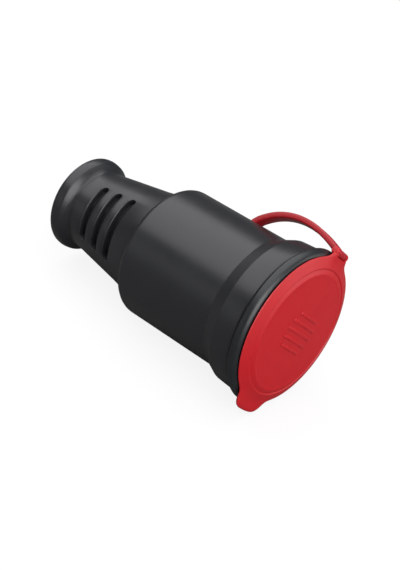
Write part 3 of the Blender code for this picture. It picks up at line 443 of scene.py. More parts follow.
def swept(section: Sequence[Point2], frames: Sequence[Matrix]) -> bmesh.types.BMesh:
    """Draw a section along a row of frames.

    Args:
        section: the section's outline in each frame's XY plane.
        frames: the places of the section, in order.

    Returns:
        A closed mesh with its faces outwards.
    """
    bm = bmesh.new()
    cap = bm.faces.new([bm.verts.new(frames[0] @ Vector((u, v, 0.0))) for u, v in section])
    first = cap
    for last, this in zip(frames, frames[1:]):
        drawn = bmesh.ops.extrude_face_region(bm, geom=[cap])["geom"]
        moving = [g for g in drawn if isinstance(g, bmesh.types.BMVert)]
        if cap is not first:
            bmesh.ops.delete(bm, geom=[cap], context="FACES_ONLY")
        cap = next(g for g in drawn if isinstance(g, bmesh.types.BMFace))
        bmesh.ops.transform(bm, matrix=this @ last.inverted(), verts=moving)
    bmesh.ops.recalc_face_normals(bm, faces=bm.faces)
    return bm


def block(low: Sequence[float], high: Sequence[float], edge: float = 0.0, segments: int = 3) -> bmesh.types.BMesh:
    """Make a box with rounded edges.

    Args:
        low: its lowest corner.
        high: its highest corner.
        edge: the radius of its edges.
        segments: chords of each rounded edge.

    Returns:
        The box's mesh.
    """
    low, high = Vector(low), Vector(high)
    bm = bmesh.new()
    size = Matrix.Diagonal((high - low).to_4d())
    bmesh.ops.create_cube(bm, size=1.0, matrix=Matrix.Translation((low + high) / 2) @ size)
    if edge:
        bmesh.ops.bevel(
            bm, geom=list(bm.edges), affect="EDGES", offset=edge, segments=segments, profile=0.5, material=-1
        )
    return bm


def rod(
    start: Sequence[float], end: Sequence[float], radius: float, facets: int = 48, edge: float = 0.0
) -> bmesh.types.BMesh:
    """Make a rod between two points, with rounded ends where an edge radius is given.

    Args:
        start: the centre of one end.
        end: the centre of the other end.
        radius: its radius.
        facets: its facets.
        edge: the radius of its end edges.

    Returns:
        The rod's mesh.
    """
    start, end = Vector(start), Vector(end)
    way = end - start
    bm = bmesh.new()
    turn = way.to_track_quat("Z", "Y").to_matrix().to_4x4()
    bmesh.ops.create_cone(
        bm, cap_ends=True, segments=facets, radius1=radius, radius2=radius, depth=way.length,
        matrix=Matrix.Translation((start + end) / 2) @ turn,
    )
    if edge:
        rims = [e for e in bm.edges if any(len(f.verts) > 4 for f in e.link_faces)]
        bmesh.ops.bevel(bm, geom=rims, affect="EDGES", offset=edge, segments=3, profile=0.5, material=-1)
    return bm


def angle_from(axis_z: float, y: float, z: float) -> float:
    """Angle in degrees of a point round the coupler's axis, from +Z or -Z.

    Args:
        axis_z: 1 to count from the strap, -1 to count from the finger tab.
        y: the point's y.
        z: the point's z.

    Returns:
        The angle from 0 to 180.
    """
    return math.degrees(math.atan2(abs(y), z * axis_z))


def smoothstep(value: float, low: float, high: float) -> float:
    """Ease from 0 at low to 1 at high."""
    t = min(max((value - low) / (high - low), 0.0), 1.0)
    return t * t * (3 - 2 * t)


def eased(value: float, marks: Sequence[Point2]) -> float:
    """Read a smooth curve through a few marks.

    Args:
        value: where to read it.
        marks: (position, height) pairs in rising order.

    Returns:
        The height there, held flat beyond the ends.
    """
    if value <= marks[0][0]:
        return marks[0][1]
    for i, ((a, low), (b, high)) in enumerate(zip(marks, marks[1:])):
        if value <= b:
            before = marks[max(i - 1, 0)]
            after = marks[min(i + 2, len(marks) - 1)]
            t = (value - a) / (b - a)
            rise_a = (high - before[1]) / (b - before[0]) * (b - a)
            rise_b = (after[1] - low) / (after[0] - a) * (b - a)
            return (
                (2 * t**3 - 3 * t**2 + 1) * low
                + (t**3 - 2 * t**2 + t) * rise_a
                + (3 * t**2 - 2 * t**3) * high
                + (t**3 - t**2) * rise_b
            )
    return marks[-1][1]


class Bench:
    """Turns meshes drawn in millimetres into finished pieces that ride on their bodies."""

    def __init__(self, axes: CouplerAxes, finishes: Finishes) -> None:
        """Keep the frame and the finishes.

        Args:
            axes: the coupler's frame.
            finishes: the store of materials.
        """
        self.axes = axes
        self.finishes = finishes

    def shape(self, bm: bmesh.types.BMesh, name: str) -> bpy.types.Object:
        """Put a drawn mesh into the scene, at its place in the world.

        Args:
            bm: the mesh in millimetres on the coupler, which is freed.
            name: the object's name.

        Returns:
            The object.
        """
        bmesh.ops.transform(bm, matrix=self.axes.to_world, verts=bm.verts)
        mesh = bpy.data.meshes.new(name)
        bm.to_mesh(mesh)
        bm.free()
        made = bpy.data.objects.new(name, mesh)
        bpy.context.scene.collection.objects.link(made)
        return made

    def combine(self, made: bpy.types.Object, tool: bmesh.types.BMesh, operation: str = "DIFFERENCE") -> None:
        """Cut or join a tool shape and keep the result as the object's mesh.

        Args:
            made: the object that is worked.
            tool: the tool's mesh in millimetres on the coupler.
            operation: the Boolean's operation.
        """
        helper = self.shape(tool, made.name + "_tool")
        step = made.modifiers.new("tool", "BOOLEAN")
        step.operation = operation
        step.object = helper
        step.solver = "EXACT"
        graph = bpy.context.evaluated_depsgraph_get()
        worked = bpy.data.meshes.new_from_object(made.evaluated_get(graph))
        made.modifiers.clear()
        spent = made.data
        made.data = worked
        bpy.data.meshes.remove(spent)
        spent = helper.data
        bpy.data.objects.remove(helper)
        bpy.data.meshes.remove(spent)

    def dress(
        self, made: bpy.types.Object, body: Body, finishes: Sequence[Finish], stands_for: Sequence[str] = (),
        crease: float = 32.0,
    ) -> bpy.types.Object:
        """Give a piece its finishes, its shading and its body.

        Args:
            made: the piece.
            body: the body that it rides on.
            finishes: its finishes, one for each material index.
            stands_for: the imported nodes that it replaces.
            crease: edges sharper than this many degrees stay sharp.

        Returns:
            The piece.
        """
        made.data.materials.clear()
        for finish in finishes:
            made.data.materials.append(self.finishes.of(finish))
        made.data.shade_smooth()
        made.data.set_sharp_from_angle(angle=math.radians(crease))
        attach(made, body.value)
        if stands_for:
            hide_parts(*stands_for)
        LOG.info("%s rides on %s with %d faces", made.name, body.value, len(made.data.polygons))
        return made


@dataclass
class Housing:
    """The rubber housing: collar, barrel, shoulder, slotted neck and flared end in one moulding."""

    front: float = -4.6
    collar_back: float = -13.6
    taper_back: float = -19.2
    barrel_back: float = -62.0
    neck_front: float = -65.8
    neck_back: float = -102.8
    flare_back: float = -109.96
    collar_front_r: float = 29.9
    collar_back_r: float = 29.3
    collar_bore_r: float = 26.6
    barrel_r: float = 26.77
    bore_r: float = 22.7
    neck_front_r: float = 21.9
    neck_back_r: float = 16.1
    neck_wall: float = 4.7
    flare_r: float = 19.57
    mouth_r: float = 16.8
    cable_bore_r: float = 12.6
    seat_r: float = 12.2
    lip_r: float = 10.6
    seat_back: float = -99.1
    seat_length: float = 12.6
    slots_a_side: int = 3
    slot_first: float = 10.2
    slot_pitch: float = 7.7
    slot_width: float = 3.3
    slot_depth: float = 2.4
    slot_angles: Point2 = (60.0, 140.0)
    slot_lip: float = 0.16
    lip_marks: tuple[Point2, ...] = ((0.0, 0.2), (0.3, 0.36), (0.8, -0.28), (1.4, 0.0))
    slot_end_share: float = 0.32
    skin: float = 0.3
    strap_hole: Corner = (-36.85, 1.6, 3.3)
    facets: int = 240

    def neck_radius(self, x: float) -> float:
        """Outer radius of the neck's cone at one station."""
        share = (x - self.neck_back) / (self.neck_front - self.neck_back)
        return self.neck_back_r + share * (self.neck_front_r - self.neck_back_r)

    def slot_centres(self) -> list[float]:
        """Stations of the slots' middles, from the flared end."""
        return [self.neck_back + self.slot_first + i * self.slot_pitch for i in range(self.slots_a_side)]

    def outline(self) -> list[Point2]:
        """Draw half the housing's section.

        Returns:
            Its points, down the outside to the flared end and back along the bore.
        """
        outside = [
            (self.front, self.collar_bore_r, 0.0),
            (self.front, self.collar_front_r, 0.9),
            (self.collar_back, self.collar_back_r, 0.5),
            (self.taper_back, self.barrel_r, 1.6),
            (self.barrel_back - 1.76, self.barrel_r, 3.2),
            (self.neck_front + 0.1, self.neck_front_r + 0.4, 1.5),
        ]
        for x in reversed(self.slot_centres()):
            back = x - self.slot_width / 2
            for edge in [x + self.slot_width / 2] + [back - away for away, _ in self.lip_marks]:
                outside.append((edge, self.neck_radius(edge), 0.0))
        outside += [
            (self.neck_back, self.neck_back_r, 1.2),
            (self.neck_back - 1.2, self.neck_back_r + 1.2, 0.7),
            (self.flare_back + 4.4, self.flare_r - 0.35, 1.6),
            (self.flare_back + 2.2, self.flare_r, 1.4),
            (self.flare_back, self.flare_r - 0.25, 1.7),
            (self.flare_back, self.mouth_r - 0.2, 0.9),
            (self.flare_back + 1.6, self.cable_bore_r + 1.2, 2.2),
            (self.flare_back + 4.6, self.cable_bore_r, 3.0),
            (self.seat_back - 1.6, self.cable_bore_r, 0.0),
            (self.seat_back - 1.6, self.lip_r, 0.3),
            (self.seat_back, self.lip_r, 0.3),
            (self.seat_back, self.seat_r, 0.0),
            (self.seat_back + self.seat_length, self.seat_r, 0.0),
            (self.seat_back + self.seat_length + 4.0, self.neck_radius(self.seat_back + 16.6) - self.neck_wall, 2.0),
            (self.neck_front, self.neck_front_r - self.neck_wall, 2.0),
            (self.barrel_back + 3.4, self.bore_r, 2.0),
            (-17.9, self.bore_r, 0.0),
            (-14.9, self.collar_bore_r, 0.0),
        ]
        return rounded(outside, closed=True)

    def sink_slots(self, bm: bmesh.types.BMesh) -> None:
        """Press the bend relief slots into the neck and round their ends.

        Args:
            bm: the housing's mesh, whose rings include the slots' edges.
        """
        half = self.slot_width / 2 - 0.01
        low, high = self.slot_angles
        for x in self.slot_centres():
            for side in Side:
                faces = []
                for face in bm.faces:
                    middle = face.calc_center_median()
                    outside = middle.yz.length > self.neck_radius(middle.x) - self.skin
                    inside = abs(middle.x - x) < half and low < angle_from(1, middle.y, middle.z) < high
                    if outside and inside and middle.y * side.value > 0:
                        faces.append(face)
                self.round_ends(x, faces)
                self.sink_one(bm, faces)

    def round_ends(self, x: float, faces: list[bmesh.types.BMFace]) -> None:
        """Draw the ends of one slot's patch together into half rounds.

        Args:
            x: the slot's middle station.
            faces: the patch.
        """
        verts = {v for face in faces for v in face.verts}
        angles = [math.radians(angle_from(1, v.co.y, v.co.z)) for v in verts]
        low, high = min(angles), max(angles)
        half = self.slot_width / 2
        for vert in verts:
            radius = vert.co.yz.length
            angle = math.radians(angle_from(1, vert.co.y, vert.co.z))
            inward = min(angle - low, high - angle) * radius / half
            share = max(self.slot_end_share, math.sqrt(1 - (1 - min(inward, 1.0)) ** 2))
            place = x + (vert.co.x - x) * share
            scale = self.neck_radius(place) / radius
            vert.co = Vector((place, vert.co.y * scale, vert.co.z * scale))

    def raise_lips(self, bm: bmesh.types.BMesh) -> None:
        """Raise a thin lip along the rear edge of each slot, with a fine groove behind it.

        Args:
            bm: the housing's mesh.
        """
        low, high = self.slot_angles
        for vert in bm.verts:
            radius = vert.co.yz.length
            if radius < self.neck_radius(vert.co.x) - self.skin:
                continue
            angle = angle_from(1, vert.co.y, vert.co.z)
            fade = smoothstep(angle, low + 1.0, low + 9.0) * (1 - smoothstep(angle, high - 9.0, high - 1.0))
            for x in self.slot_centres():
                away = x - self.slot_width / 2 - vert.co.x
                for mark, height in self.lip_marks:
                    if abs(away - mark) < 0.02:
                        scale = 1 + height * fade / radius
                        vert.co.y *= scale
                        vert.co.z *= scale

    def sink_one(self, bm: bmesh.types.BMesh, faces: list[bmesh.types.BMFace]) -> None:
        """Sink one patch of the neck's surface towards the axis.

        Args:
            bm: the housing's mesh.
            faces: the patch.
        """
        drawn = bmesh.ops.extrude_face_region(bm, geom=faces)["geom"]
        floor = [g for g in drawn if isinstance(g, bmesh.types.BMVert)]
        bmesh.ops.delete(bm, geom=faces, context="FACES")
        for vert in floor:
            radius = vert.co.yz.length
            scale = (radius - self.slot_depth) / radius
            vert.co.y *= scale
            vert.co.z *= scale

    def round_lips(self, bm: bmesh.types.BMesh) -> None:
        """Round the sharp edges that the slots left in the neck.

        Args:
            bm: the housing's mesh.
        """
        start, end = self.neck_back + 2.0, self.neck_front - 2.0
        lips = [
            e
            for e in bm.edges
            if all(start < v.co.x < end for v in e.verts)
            and e.is_manifold
            and e.calc_face_angle() > math.radians(50)
            and all(v.co.yz.length > self.neck_radius(v.co.x) - self.slot_depth - 0.5 for v in e.verts)
        ]
        bmesh.ops.bevel(
            bm, geom=lips, affect="EDGES", offset=self.slot_lip, segments=3, profile=0.5, material=-1,
            clamp_overlap=True,
        )

    def build(self, bench: Bench) -> bpy.types.Object:
        """Make the housing.

        Args:
            bench: where pieces are made.

        Returns:
            The housing.
        """
        bm = turned(self.outline(), self.facets)
        self.sink_slots(bm)
        self.raise_lips(bm)
        self.round_lips(bm)
        made = bench.shape(bm, "rubber_housing")
        x, half_x, half_y = self.strap_hole
        bench.combine(made, block((x - half_x, -half_y, 20.0), (x + half_x + 0.2, half_y, 30.0)))
        return bench.dress(made, Body.HOUSING, [Finishes.HOUSING], ["housing"])


@dataclass
class SocketInsert:
    """The hard insert: rim ring, seal recess, plug well and floor."""

    front: float = -0.3
    rim_back: float = -4.3
    rim_r: float = 31.14
    rim_front_round: float = 3.0
    rim_back_round: float = 1.0
    collar_r: float = 26.3
    body_r: float = 22.4
    recess_r: float = 24.6
    recess_floor: float = -5.3
    well_r: float = 19.7
    well_floor: float = -22.8
    floor_back: float = -26.3
    skirt_back: float = -30.3
    skirt_r: float = 20.4
    pin_pitch: float = 19.0
    pin_hole_r: float = 2.7
    key_width: float = 5.2
    key_height: float = 1.5
    clip_slot: Point2 = (16.7, 19.2)
    clip_half_width: float = 3.3
    head_sink_r: float = 3.5
    head_sink: float = 2.1
    centre_hole_r: float = 2.0
    facets: int = 144

    def outline(self) -> list[Point2]:
        """Draw half the insert's section, from the well's middle out and round the back."""
        front_round, back_round = self.rim_front_round, self.rim_back_round
        mouth = rounded([
            (self.well_floor, 0.0, 0.0),
            (self.well_floor, self.well_r, 0.8),
            (self.recess_floor, self.well_r, 0.5),
            (self.recess_floor, self.recess_r, 0.4),
            (self.front, self.recess_r, 0.4),
            (self.front, self.recess_r + 1.5, 0.0),
        ])
        bead = arc((self.front - front_round, self.rim_r - front_round), front_round, 0, 90)
        bead += arc((self.rim_back + back_round, self.rim_r - back_round), back_round, 90, 180)[1:]
        back = rounded([
            (self.rim_back, 28.9, 0.0),
            (self.rim_back, 28.7, 0.0),
            (self.rim_back + 1.2, 28.7, 0.0),
            (self.rim_back + 1.2, 27.0, 0.0),
            (self.rim_back, 27.0, 0.0),
            (self.rim_back, self.collar_r, 0.0),
            (-14.6, self.collar_r, 0.4),
            (-18.5, self.body_r, 0.4),
            (self.skirt_back, self.body_r, 0.3),
            (self.skirt_back, self.skirt_r, 0.3),
            (self.floor_back, self.skirt_r, 0.3),
            (self.floor_back, 0.0, 0.0),
        ])
        return mouth + bead + back

    def build(self, bench: Bench) -> bpy.types.Object:
        """Make the insert.

        Args:
            bench: where pieces are made.

        Returns:
            The insert.
        """
        made = bench.shape(turned(self.outline(), self.facets, closed=False), "socket_well")
        half = self.key_width / 2
        for side in Side:
            inner, outer = side.value * (self.well_r - self.key_height), side.value * (self.well_r + 1.2)
            key = block(
                (self.well_floor - 1.0, min(inner, outer), -half),
                (self.recess_floor - 1.7, max(inner, outer), half),
                edge=0.5,
            )
            bench.combine(made, key, "UNION")
        through = (self.floor_back - 1.0, self.well_floor + 1.0)
        for side in Side:
            y = side.value * self.pin_pitch / 2
            bench.combine(made, rod((through[0], y, 0), (through[1], y, 0), self.pin_hole_r))
            mouth = self.well_floor - 0.5
            funnel = turned([(mouth, 0.0), (mouth, self.pin_hole_r - 0.1), (mouth + 1.0, self.pin_hole_r + 0.9),
                             (mouth + 1.0, 0.0)], 48, closed=False)
            bmesh.ops.translate(funnel, vec=(0, y, 0), verts=funnel.verts)
            bench.combine(made, funnel)
            z = sorted(side.value * edge for edge in self.clip_slot)
            bench.combine(
                made,
                block((through[0], -self.clip_half_width, z[0]), (through[1], self.clip_half_width, z[1])),
            )
        bench.combine(made, rod((through[0], 0, 0), (through[1], 0, 0), self.centre_hole_r))
        bench.combine(
            made, rod((self.well_floor - self.head_sink, 0, 0), (self.well_floor + 1.0, 0, 0), self.head_sink_r)
        )
        return bench.dress(made, Body.HOUSING, [Finishes.INSERT], ["socket_insert"])


@dataclass
class Lid:
    """The lid: domed face, polished rim, spigot, finger tab and hinge ears in one moulding."""

    face_r: float = 22.4
    face_x: float = 2.30
    dome: float = 0.36
    lip_x: float = 2.42
    lip_r: float = 23.4
    groove_r: float = 25.1
    spigot_r: float = 22.6
    spigot_wall: float = 2.0
    spigot_back: float = -4.2
    shell: float = 1.7
    hinge_x: float = -0.3
    hinge_r: float = 32.0
    knuckle_r: float = 1.5
    knuckle_half: float = 5.2
    eye_half: float = 3.3
    notch_gap: float = 0.12
    pin_hole_r: float = 0.85
    pin_half: float = 4.5
    pin_r: float = 0.6
    seal_inner_r: float = 22.9
    seal_outer_r: float = 24.2
    bars: int = 5
    bar_pitch: float = 3.3
    bar_width: float = 1.2
    bar_field_r: float = 9.6
    bar_back: float = 1.2
    bar_front: float = 2.98
    facets: int = 288
    tab_share: tuple[Point2, ...] = (
        (0.0, 0.97), (5.0, 0.99), (9.0, 1.0), (12.0, 0.93), (14.0, 0.83), (15.5, 0.71), (17.0, 0.54), (18.5, 0.36),
        (20.0, 0.22), (22.0, 0.1), (25.0, 0.02), (28.0, 0.0),
    )
    ear_share: tuple[Point2, ...] = (
        (0.0, 1.0), (7.5, 1.0), (9.0, 0.9), (10.5, 0.68), (12.0, 0.45), (14.0, 0.24), (17.0, 0.09), (21.0, 0.0),
    )
    # The rim's section point by point: on the plain edge, in the middle of the tab, and at the hinge web.
    rim_section: tuple[tuple[Point2, Point2, Point2], ...] = (
        ((1.55, 26.6), (1.50, 26.7), (1.62, 26.7)),
        ((1.28, 27.3), (1.15, 27.7), (1.44, 27.6)),
        ((1.04, 27.9), (0.86, 28.8), (1.32, 28.5)),
        ((0.81, 28.5), (0.70, 30.1), (1.26, 29.4)),
        ((0.61, 29.0), (0.66, 31.4), (1.22, 30.2)),
        ((0.49, 29.3), (0.62, 32.5), (1.20, 31.0)),
        ((0.40, 29.47), (0.48, 33.3), (1.14, 31.7)),
        ((0.30, 29.58), (0.22, 33.77), (0.90, 32.1)),
        ((0.20, 29.58), (-0.08, 33.91), (0.40, 32.2)),
        ((0.11, 29.48), (-0.40, 33.77), (0.0, 32.1)),
        ((0.04, 29.3), (-0.64, 33.4), (-0.15, 31.7)),
        ((0.0, 29.1), (-0.74, 32.6), (-0.20, 31.1)),
        ((0.0, 28.8), (-0.74, 31.2), (-0.20, 30.3)),
        ((0.0, 28.2), (-0.50, 30.1), (-0.15, 29.5)),
        ((0.0, 27.4), (-0.10, 28.9), (0.0, 28.5)),
    )

    def outline(self) -> list[Point2]:
        """Draw half the lid's section, from the middle of its face round the rim to the inside."""
        top = self.face_x + self.dome
        inside = self.spigot_r - self.spigot_wall
        face = [(self.face_x + self.dome * (1 - (r / self.face_r) ** 2), r) for r in (0, 4, 8, 12, 16, 19, 21)]
        rim = rounded([
            (self.face_x + 0.03, 21.8, 0.0),
            (self.face_x, self.face_r, 1.5),
            (self.lip_x, self.lip_r, 1.2),
            (1.72, self.groove_r - 0.15, 0.3),
            (1.60, self.groove_r + 0.1, 0.12),
            (1.96, self.groove_r + 0.45, 0.35),
            (1.78, 26.0, 0.0),
        ])
        edge = [plain for plain, _, _ in self.rim_section]
        spigot = rounded([
            (0.0, 26.4, 0.0),
            (0.0, self.spigot_r + 0.6, 0.0),
            (0.0, self.spigot_r, 0.3),
            (self.spigot_back, self.spigot_r, 0.4),
            (self.spigot_back, inside, 0.4),
            (self.face_x - self.shell, inside, 0.8),
            (top - self.shell, 6.0, 0.0),
            (top - self.shell, 0.0, 0.0),
        ])
        return face + rim + edge + spigot

    def draw_out(self, bm: bmesh.types.BMesh) -> None:
        """Draw the rim out into the finger tab and the hinge web.

        Args:
            bm: the turned lid.
        """
        sections = {
            (round(plain[0], 3), round(plain[1], 3)): (plain, tab, ear) for plain, tab, ear in self.rim_section
        }
        for vert in bm.verts:
            radius = vert.co.yz.length
            found = sections.get((round(vert.co.x, 3) + 0.0, round(radius, 3)))
            if found is None:
                continue
            plain, tab, ear = (Vector(point) for point in found)
            tab_share = eased(angle_from(-1, vert.co.y, vert.co.z), self.tab_share)
            ear_share = eased(angle_from(1, vert.co.y, vert.co.z), self.ear_share)
            drawn = plain + tab_share * (tab - plain) + ear_share * (ear - plain)
            vert.co = Vector((drawn.x, vert.co.y * drawn.y / radius, vert.co.z * drawn.y / radius))

    def build(self, bench: Bench) -> bpy.types.Object:
        """Make the lid.

        Args:
            bench: where pieces are made.

        Returns:
            The lid.
        """
        bm = turned(self.outline(), self.facets, closed=False)
        for face in bm.faces:
            middle = face.calc_center_median()
            # The rim's faces take the lighter red of the painted highlight.
            face.material_index = 1 if middle.yz.length > self.lip_r + 0.3 else 0
        self.draw_out(bm)
        bmesh.ops.recalc_face_normals(bm, faces=bm.faces)
        made = bench.shape(bm, "lid_moulding")
        half = self.knuckle_half
        knuckle = rod(
            (self.hinge_x, -half, self.hinge_r), (self.hinge_x, half, self.hinge_r), self.knuckle_r, edge=0.5
        )
        for face in knuckle.faces:
            face.material_index = 1
        bench.combine(made, knuckle, "UNION")
        for i in range(self.bars):
            z = (i - (self.bars - 1) / 2) * self.bar_pitch
            span = math.sqrt(self.bar_field_r**2 - z**2)
            bar = block(
                (self.bar_back, -span, z - self.bar_width / 2), (self.bar_front, span, z + self.bar_width / 2),
                edge=0.2,
            )
            bench.combine(made, bar, "UNION")
        reach = 3 * self.knuckle_r
        notch = block(
            (self.hinge_x - reach, -self.eye_half, self.hinge_r - self.knuckle_r - self.notch_gap),
            (self.hinge_x + reach, self.eye_half, self.hinge_r + reach),
            edge=0.2,
        )
        bench.combine(made, notch)
        bench.combine(
            made,
            rod(
                (self.hinge_x, -self.pin_half - 0.1, self.hinge_r), (self.hinge_x, self.pin_half + 0.1, self.hinge_r),
                self.pin_hole_r,
            ),
        )
        return bench.dress(made, Body.LID, [Finishes.LID_FACE, Finishes.LID_RIM], ["lid"])

    def build_pin(self, bench: Bench) -> bpy.types.Object:
        """Make the hinge pin.

        Args:
            bench: where pieces are made.

        Returns:
            The pin.
        """
        half = self.pin_half
        pin = rod((self.hinge_x, -half, self.hinge_r), (self.hinge_x, half, self.hinge_r), self.pin_r, 32, edge=0.15)
        return bench.dress(bench.shape(pin, "hinge_rivet"), Body.LID, [Finishes.STEEL], ["hinge_pin"])

    def build_seal(self, bench: Bench) -> bpy.types.Object:
        """Make the soft ring that the lid presses into the recess.

        Args:
            bench: where pieces are made.

        Returns:
            The ring.
        """
        outer, inner = self.seal_outer_r, self.seal_inner_r
        ring = rounded(
            [(-0.3, inner, 0.1), (-0.3, outer - 0.15, 0.15), (-1.3, outer, 0.6), (-2.3, outer - 0.15, 0.15),
             (-2.3, inner, 0.1)],
            closed=True,
        )
        return bench.dress(bench.shape(turned(ring), "lid_seal_ring"), Body.LID, [Finishes.SEAL], ["lid_seal"])


@dataclass
class Strap:
    """The strap: an arched band with rounded edges, a hinge eye and a stem through the barrel."""

    root_x: float = -36.7
    root_r: float = 26.9
    rise: float = 52.0
    rear_reach: float = 16.7
    end_x: float = -0.3
    end_r: float = 32.0
    fall: float = 25.0
    front_reach: float = 11.5
    width: float = 6.0
    thickness: float = 2.3
    edge: float = 0.7
    flare: float = 0.03
    eye_r: float = 1.5
    eye_hole_r: float = 0.85
    anchor: float = 1.4
    stations: int = 48

    def path(self) -> list[Vector]:
        """Lay the centre line in the coupler's XZ plane.

        Returns:
            Points from inside the barrel wall to the hinge.
        """
        rise, fall = math.radians(self.rise), math.radians(self.fall)
        root, end = Vector((self.root_x, self.root_r)), Vector((self.end_x, self.end_r))
        first = root + self.rear_reach * Vector((math.cos(rise), math.sin(rise)))
        second = end + self.front_reach * Vector((-math.cos(fall), math.sin(fall)))
        arch = []
        for i in range(1, self.stations + 1):
            t = i / self.stations
            s = 1 - t
            arch.append(s**3 * root + 3 * s * s * t * first + 3 * s * t * t * second + t**3 * end)
        stem = [Vector((self.root_x, self.root_r - 3.6)), Vector((self.root_x, self.root_r - 2.0))]
        bend = [Vector((self.root_x + 0.02, self.root_r - 0.9)), Vector((self.root_x + 0.12, self.root_r - 0.2))]
        return stem + bend + arch[1:]

    def frames(self) -> list[Matrix]:
        """Set a frame at each point of the path, with Y across the strap.

        Returns:
            The frames, each with its Z along the path.
        """
        path = self.path()
        frames = []
        for i, here in enumerate(path):
            before, after = path[max(i - 1, 0)], path[min(i + 1, len(path) - 1)]
            along = (after - before).normalized()
            normal = Vector((along.y, -along.x))
            wide = 1 + self.flare * smoothstep(i, 0.75 * len(path), len(path) - 3)
            turn = Matrix((
                (normal.x, 0.0, along.x, here.x), (0.0, wide, 0.0, 0.0), (normal.y, 0.0, along.y, here.y),
                (0, 0, 0, 1),
            ))
            frames.append(turn)
        return frames

    def build(self, bench: Bench) -> bpy.types.Object:
        """Make the strap.

        Args:
            bench: where pieces are made.

        Returns:
            The strap.
        """
        thick, wide = self.thickness / 2, self.width / 2
        section = rounded(
            [(u, v, self.edge) for u, v in ((-thick, -wide), (thick, -wide), (thick, wide), (-thick, wide))],
            closed=True, step=22.5,
        )
        made = bench.shape(swept(section, self.frames()), "lid_strap_band")
        inset = wide * (1 + self.flare) + 0.08
        eye = rod((self.end_x, -inset, self.end_r), (self.end_x, inset, self.end_r), self.eye_r, edge=0.45)
        bench.combine(made, eye, "UNION")
        lip = 1.5
        head_low = self.root_r - 4.1
        head = block(
            (self.root_x - thick - lip, -wide - lip, head_low),
            (self.root_x + thick + lip, wide + lip, head_low + self.anchor),
            edge=0.3,
        )
        bench.combine(made, head, "UNION")
        bench.combine(
            made, rod((self.end_x, -2 * wide, self.end_r), (self.end_x, 2 * wide, self.end_r), self.eye_hole_r)
        )
        return bench.dress(made, Body.HOUSING, [Finishes.STRAP], ["lid_strap"])


@dataclass
class CableEnd:
    """The soft grommet in the flared end."""

    back: float = -98.8
    length: float = 12.0
    outer_r: float = 11.9
    bore_r: float = 4.6

    def build(self, bench: Bench) -> bpy.types.Object:
        """Make the grommet with its stepped mouth.

        Args:
            bench: where pieces are made.

        Returns:
            The grommet.
        """
        front = self.back + self.length
        ring = rounded(
            [
                (front, self.bore_r + 1.6, 0.3), (front, self.outer_r, 0.5), (self.back, self.outer_r, 0.5),
                (self.back, 9.6, 0.3), (self.back + 0.8, 9.2, 0.3), (self.back + 0.8, 7.6, 0.3),
                (self.back, 7.2, 0.3), (self.back, self.bore_r + 1.0, 0.4), (self.back + 1.6, self.bore_r, 0.6),
                (front - 1.6, self.bore_r, 0.6),
            ],
            closed=True,
        )
        made = bench.shape(turned(ring, 96), "cable_grommet_ring")
        return bench.dress(made, Body.HOUSING, [Finishes.SEAL], ["cable_grommet"])


@dataclass
class InnerWorks:
    """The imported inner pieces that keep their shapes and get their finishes."""

    brass: tuple[str, ...] = ("line_contact", "neutral_contact", "centre_nut")
    steel: tuple[str, ...] = (
        "line_spring", "neutral_spring", "earth_bracket", "line_screw", "neutral_screw", "earth_screw",
        "centre_screw", "clamp_screw_upper", "clamp_screw_lower",
    )
    grey: tuple[str, ...] = ("terminal_block", "clamp_saddle")
    rubber: tuple[str, ...] = ("flange_seal",)

    def dress(self, nodes: dict[str, bpy.types.Object], finishes: Finishes) -> None:
        """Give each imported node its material.

        Args:
            nodes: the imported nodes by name.
            finishes: the store of materials.
        """
        for names, finish in (
            (self.brass, Finishes.BRASS), (self.steel, Finishes.STEEL), (self.grey, Finishes.BLOCK),
            (self.rubber, Finishes.SEAL),
        ):
            for name in names:
                mesh = nodes[name].data
                mesh.materials.clear()
                mesh.materials.append(finishes.of(finish))
                LOG.info("%s keeps its shape in %s", name, finish.name)


@dataclass(frozen=True)
class Softbox:
    """A soft studio lamp. Its place and aim are in metres, its brightness is that of a white wall's share."""

    name: str
    place: Corner
    aim: Corner
    size: Point2
    radiance: float
    colour: str = "#ffffff"

    @property
    def power(self) -> float:
        """Power in watts that gives the lamp's face its brightness."""
        return self.radiance * math.pi * self.size[0] * self.size[1]


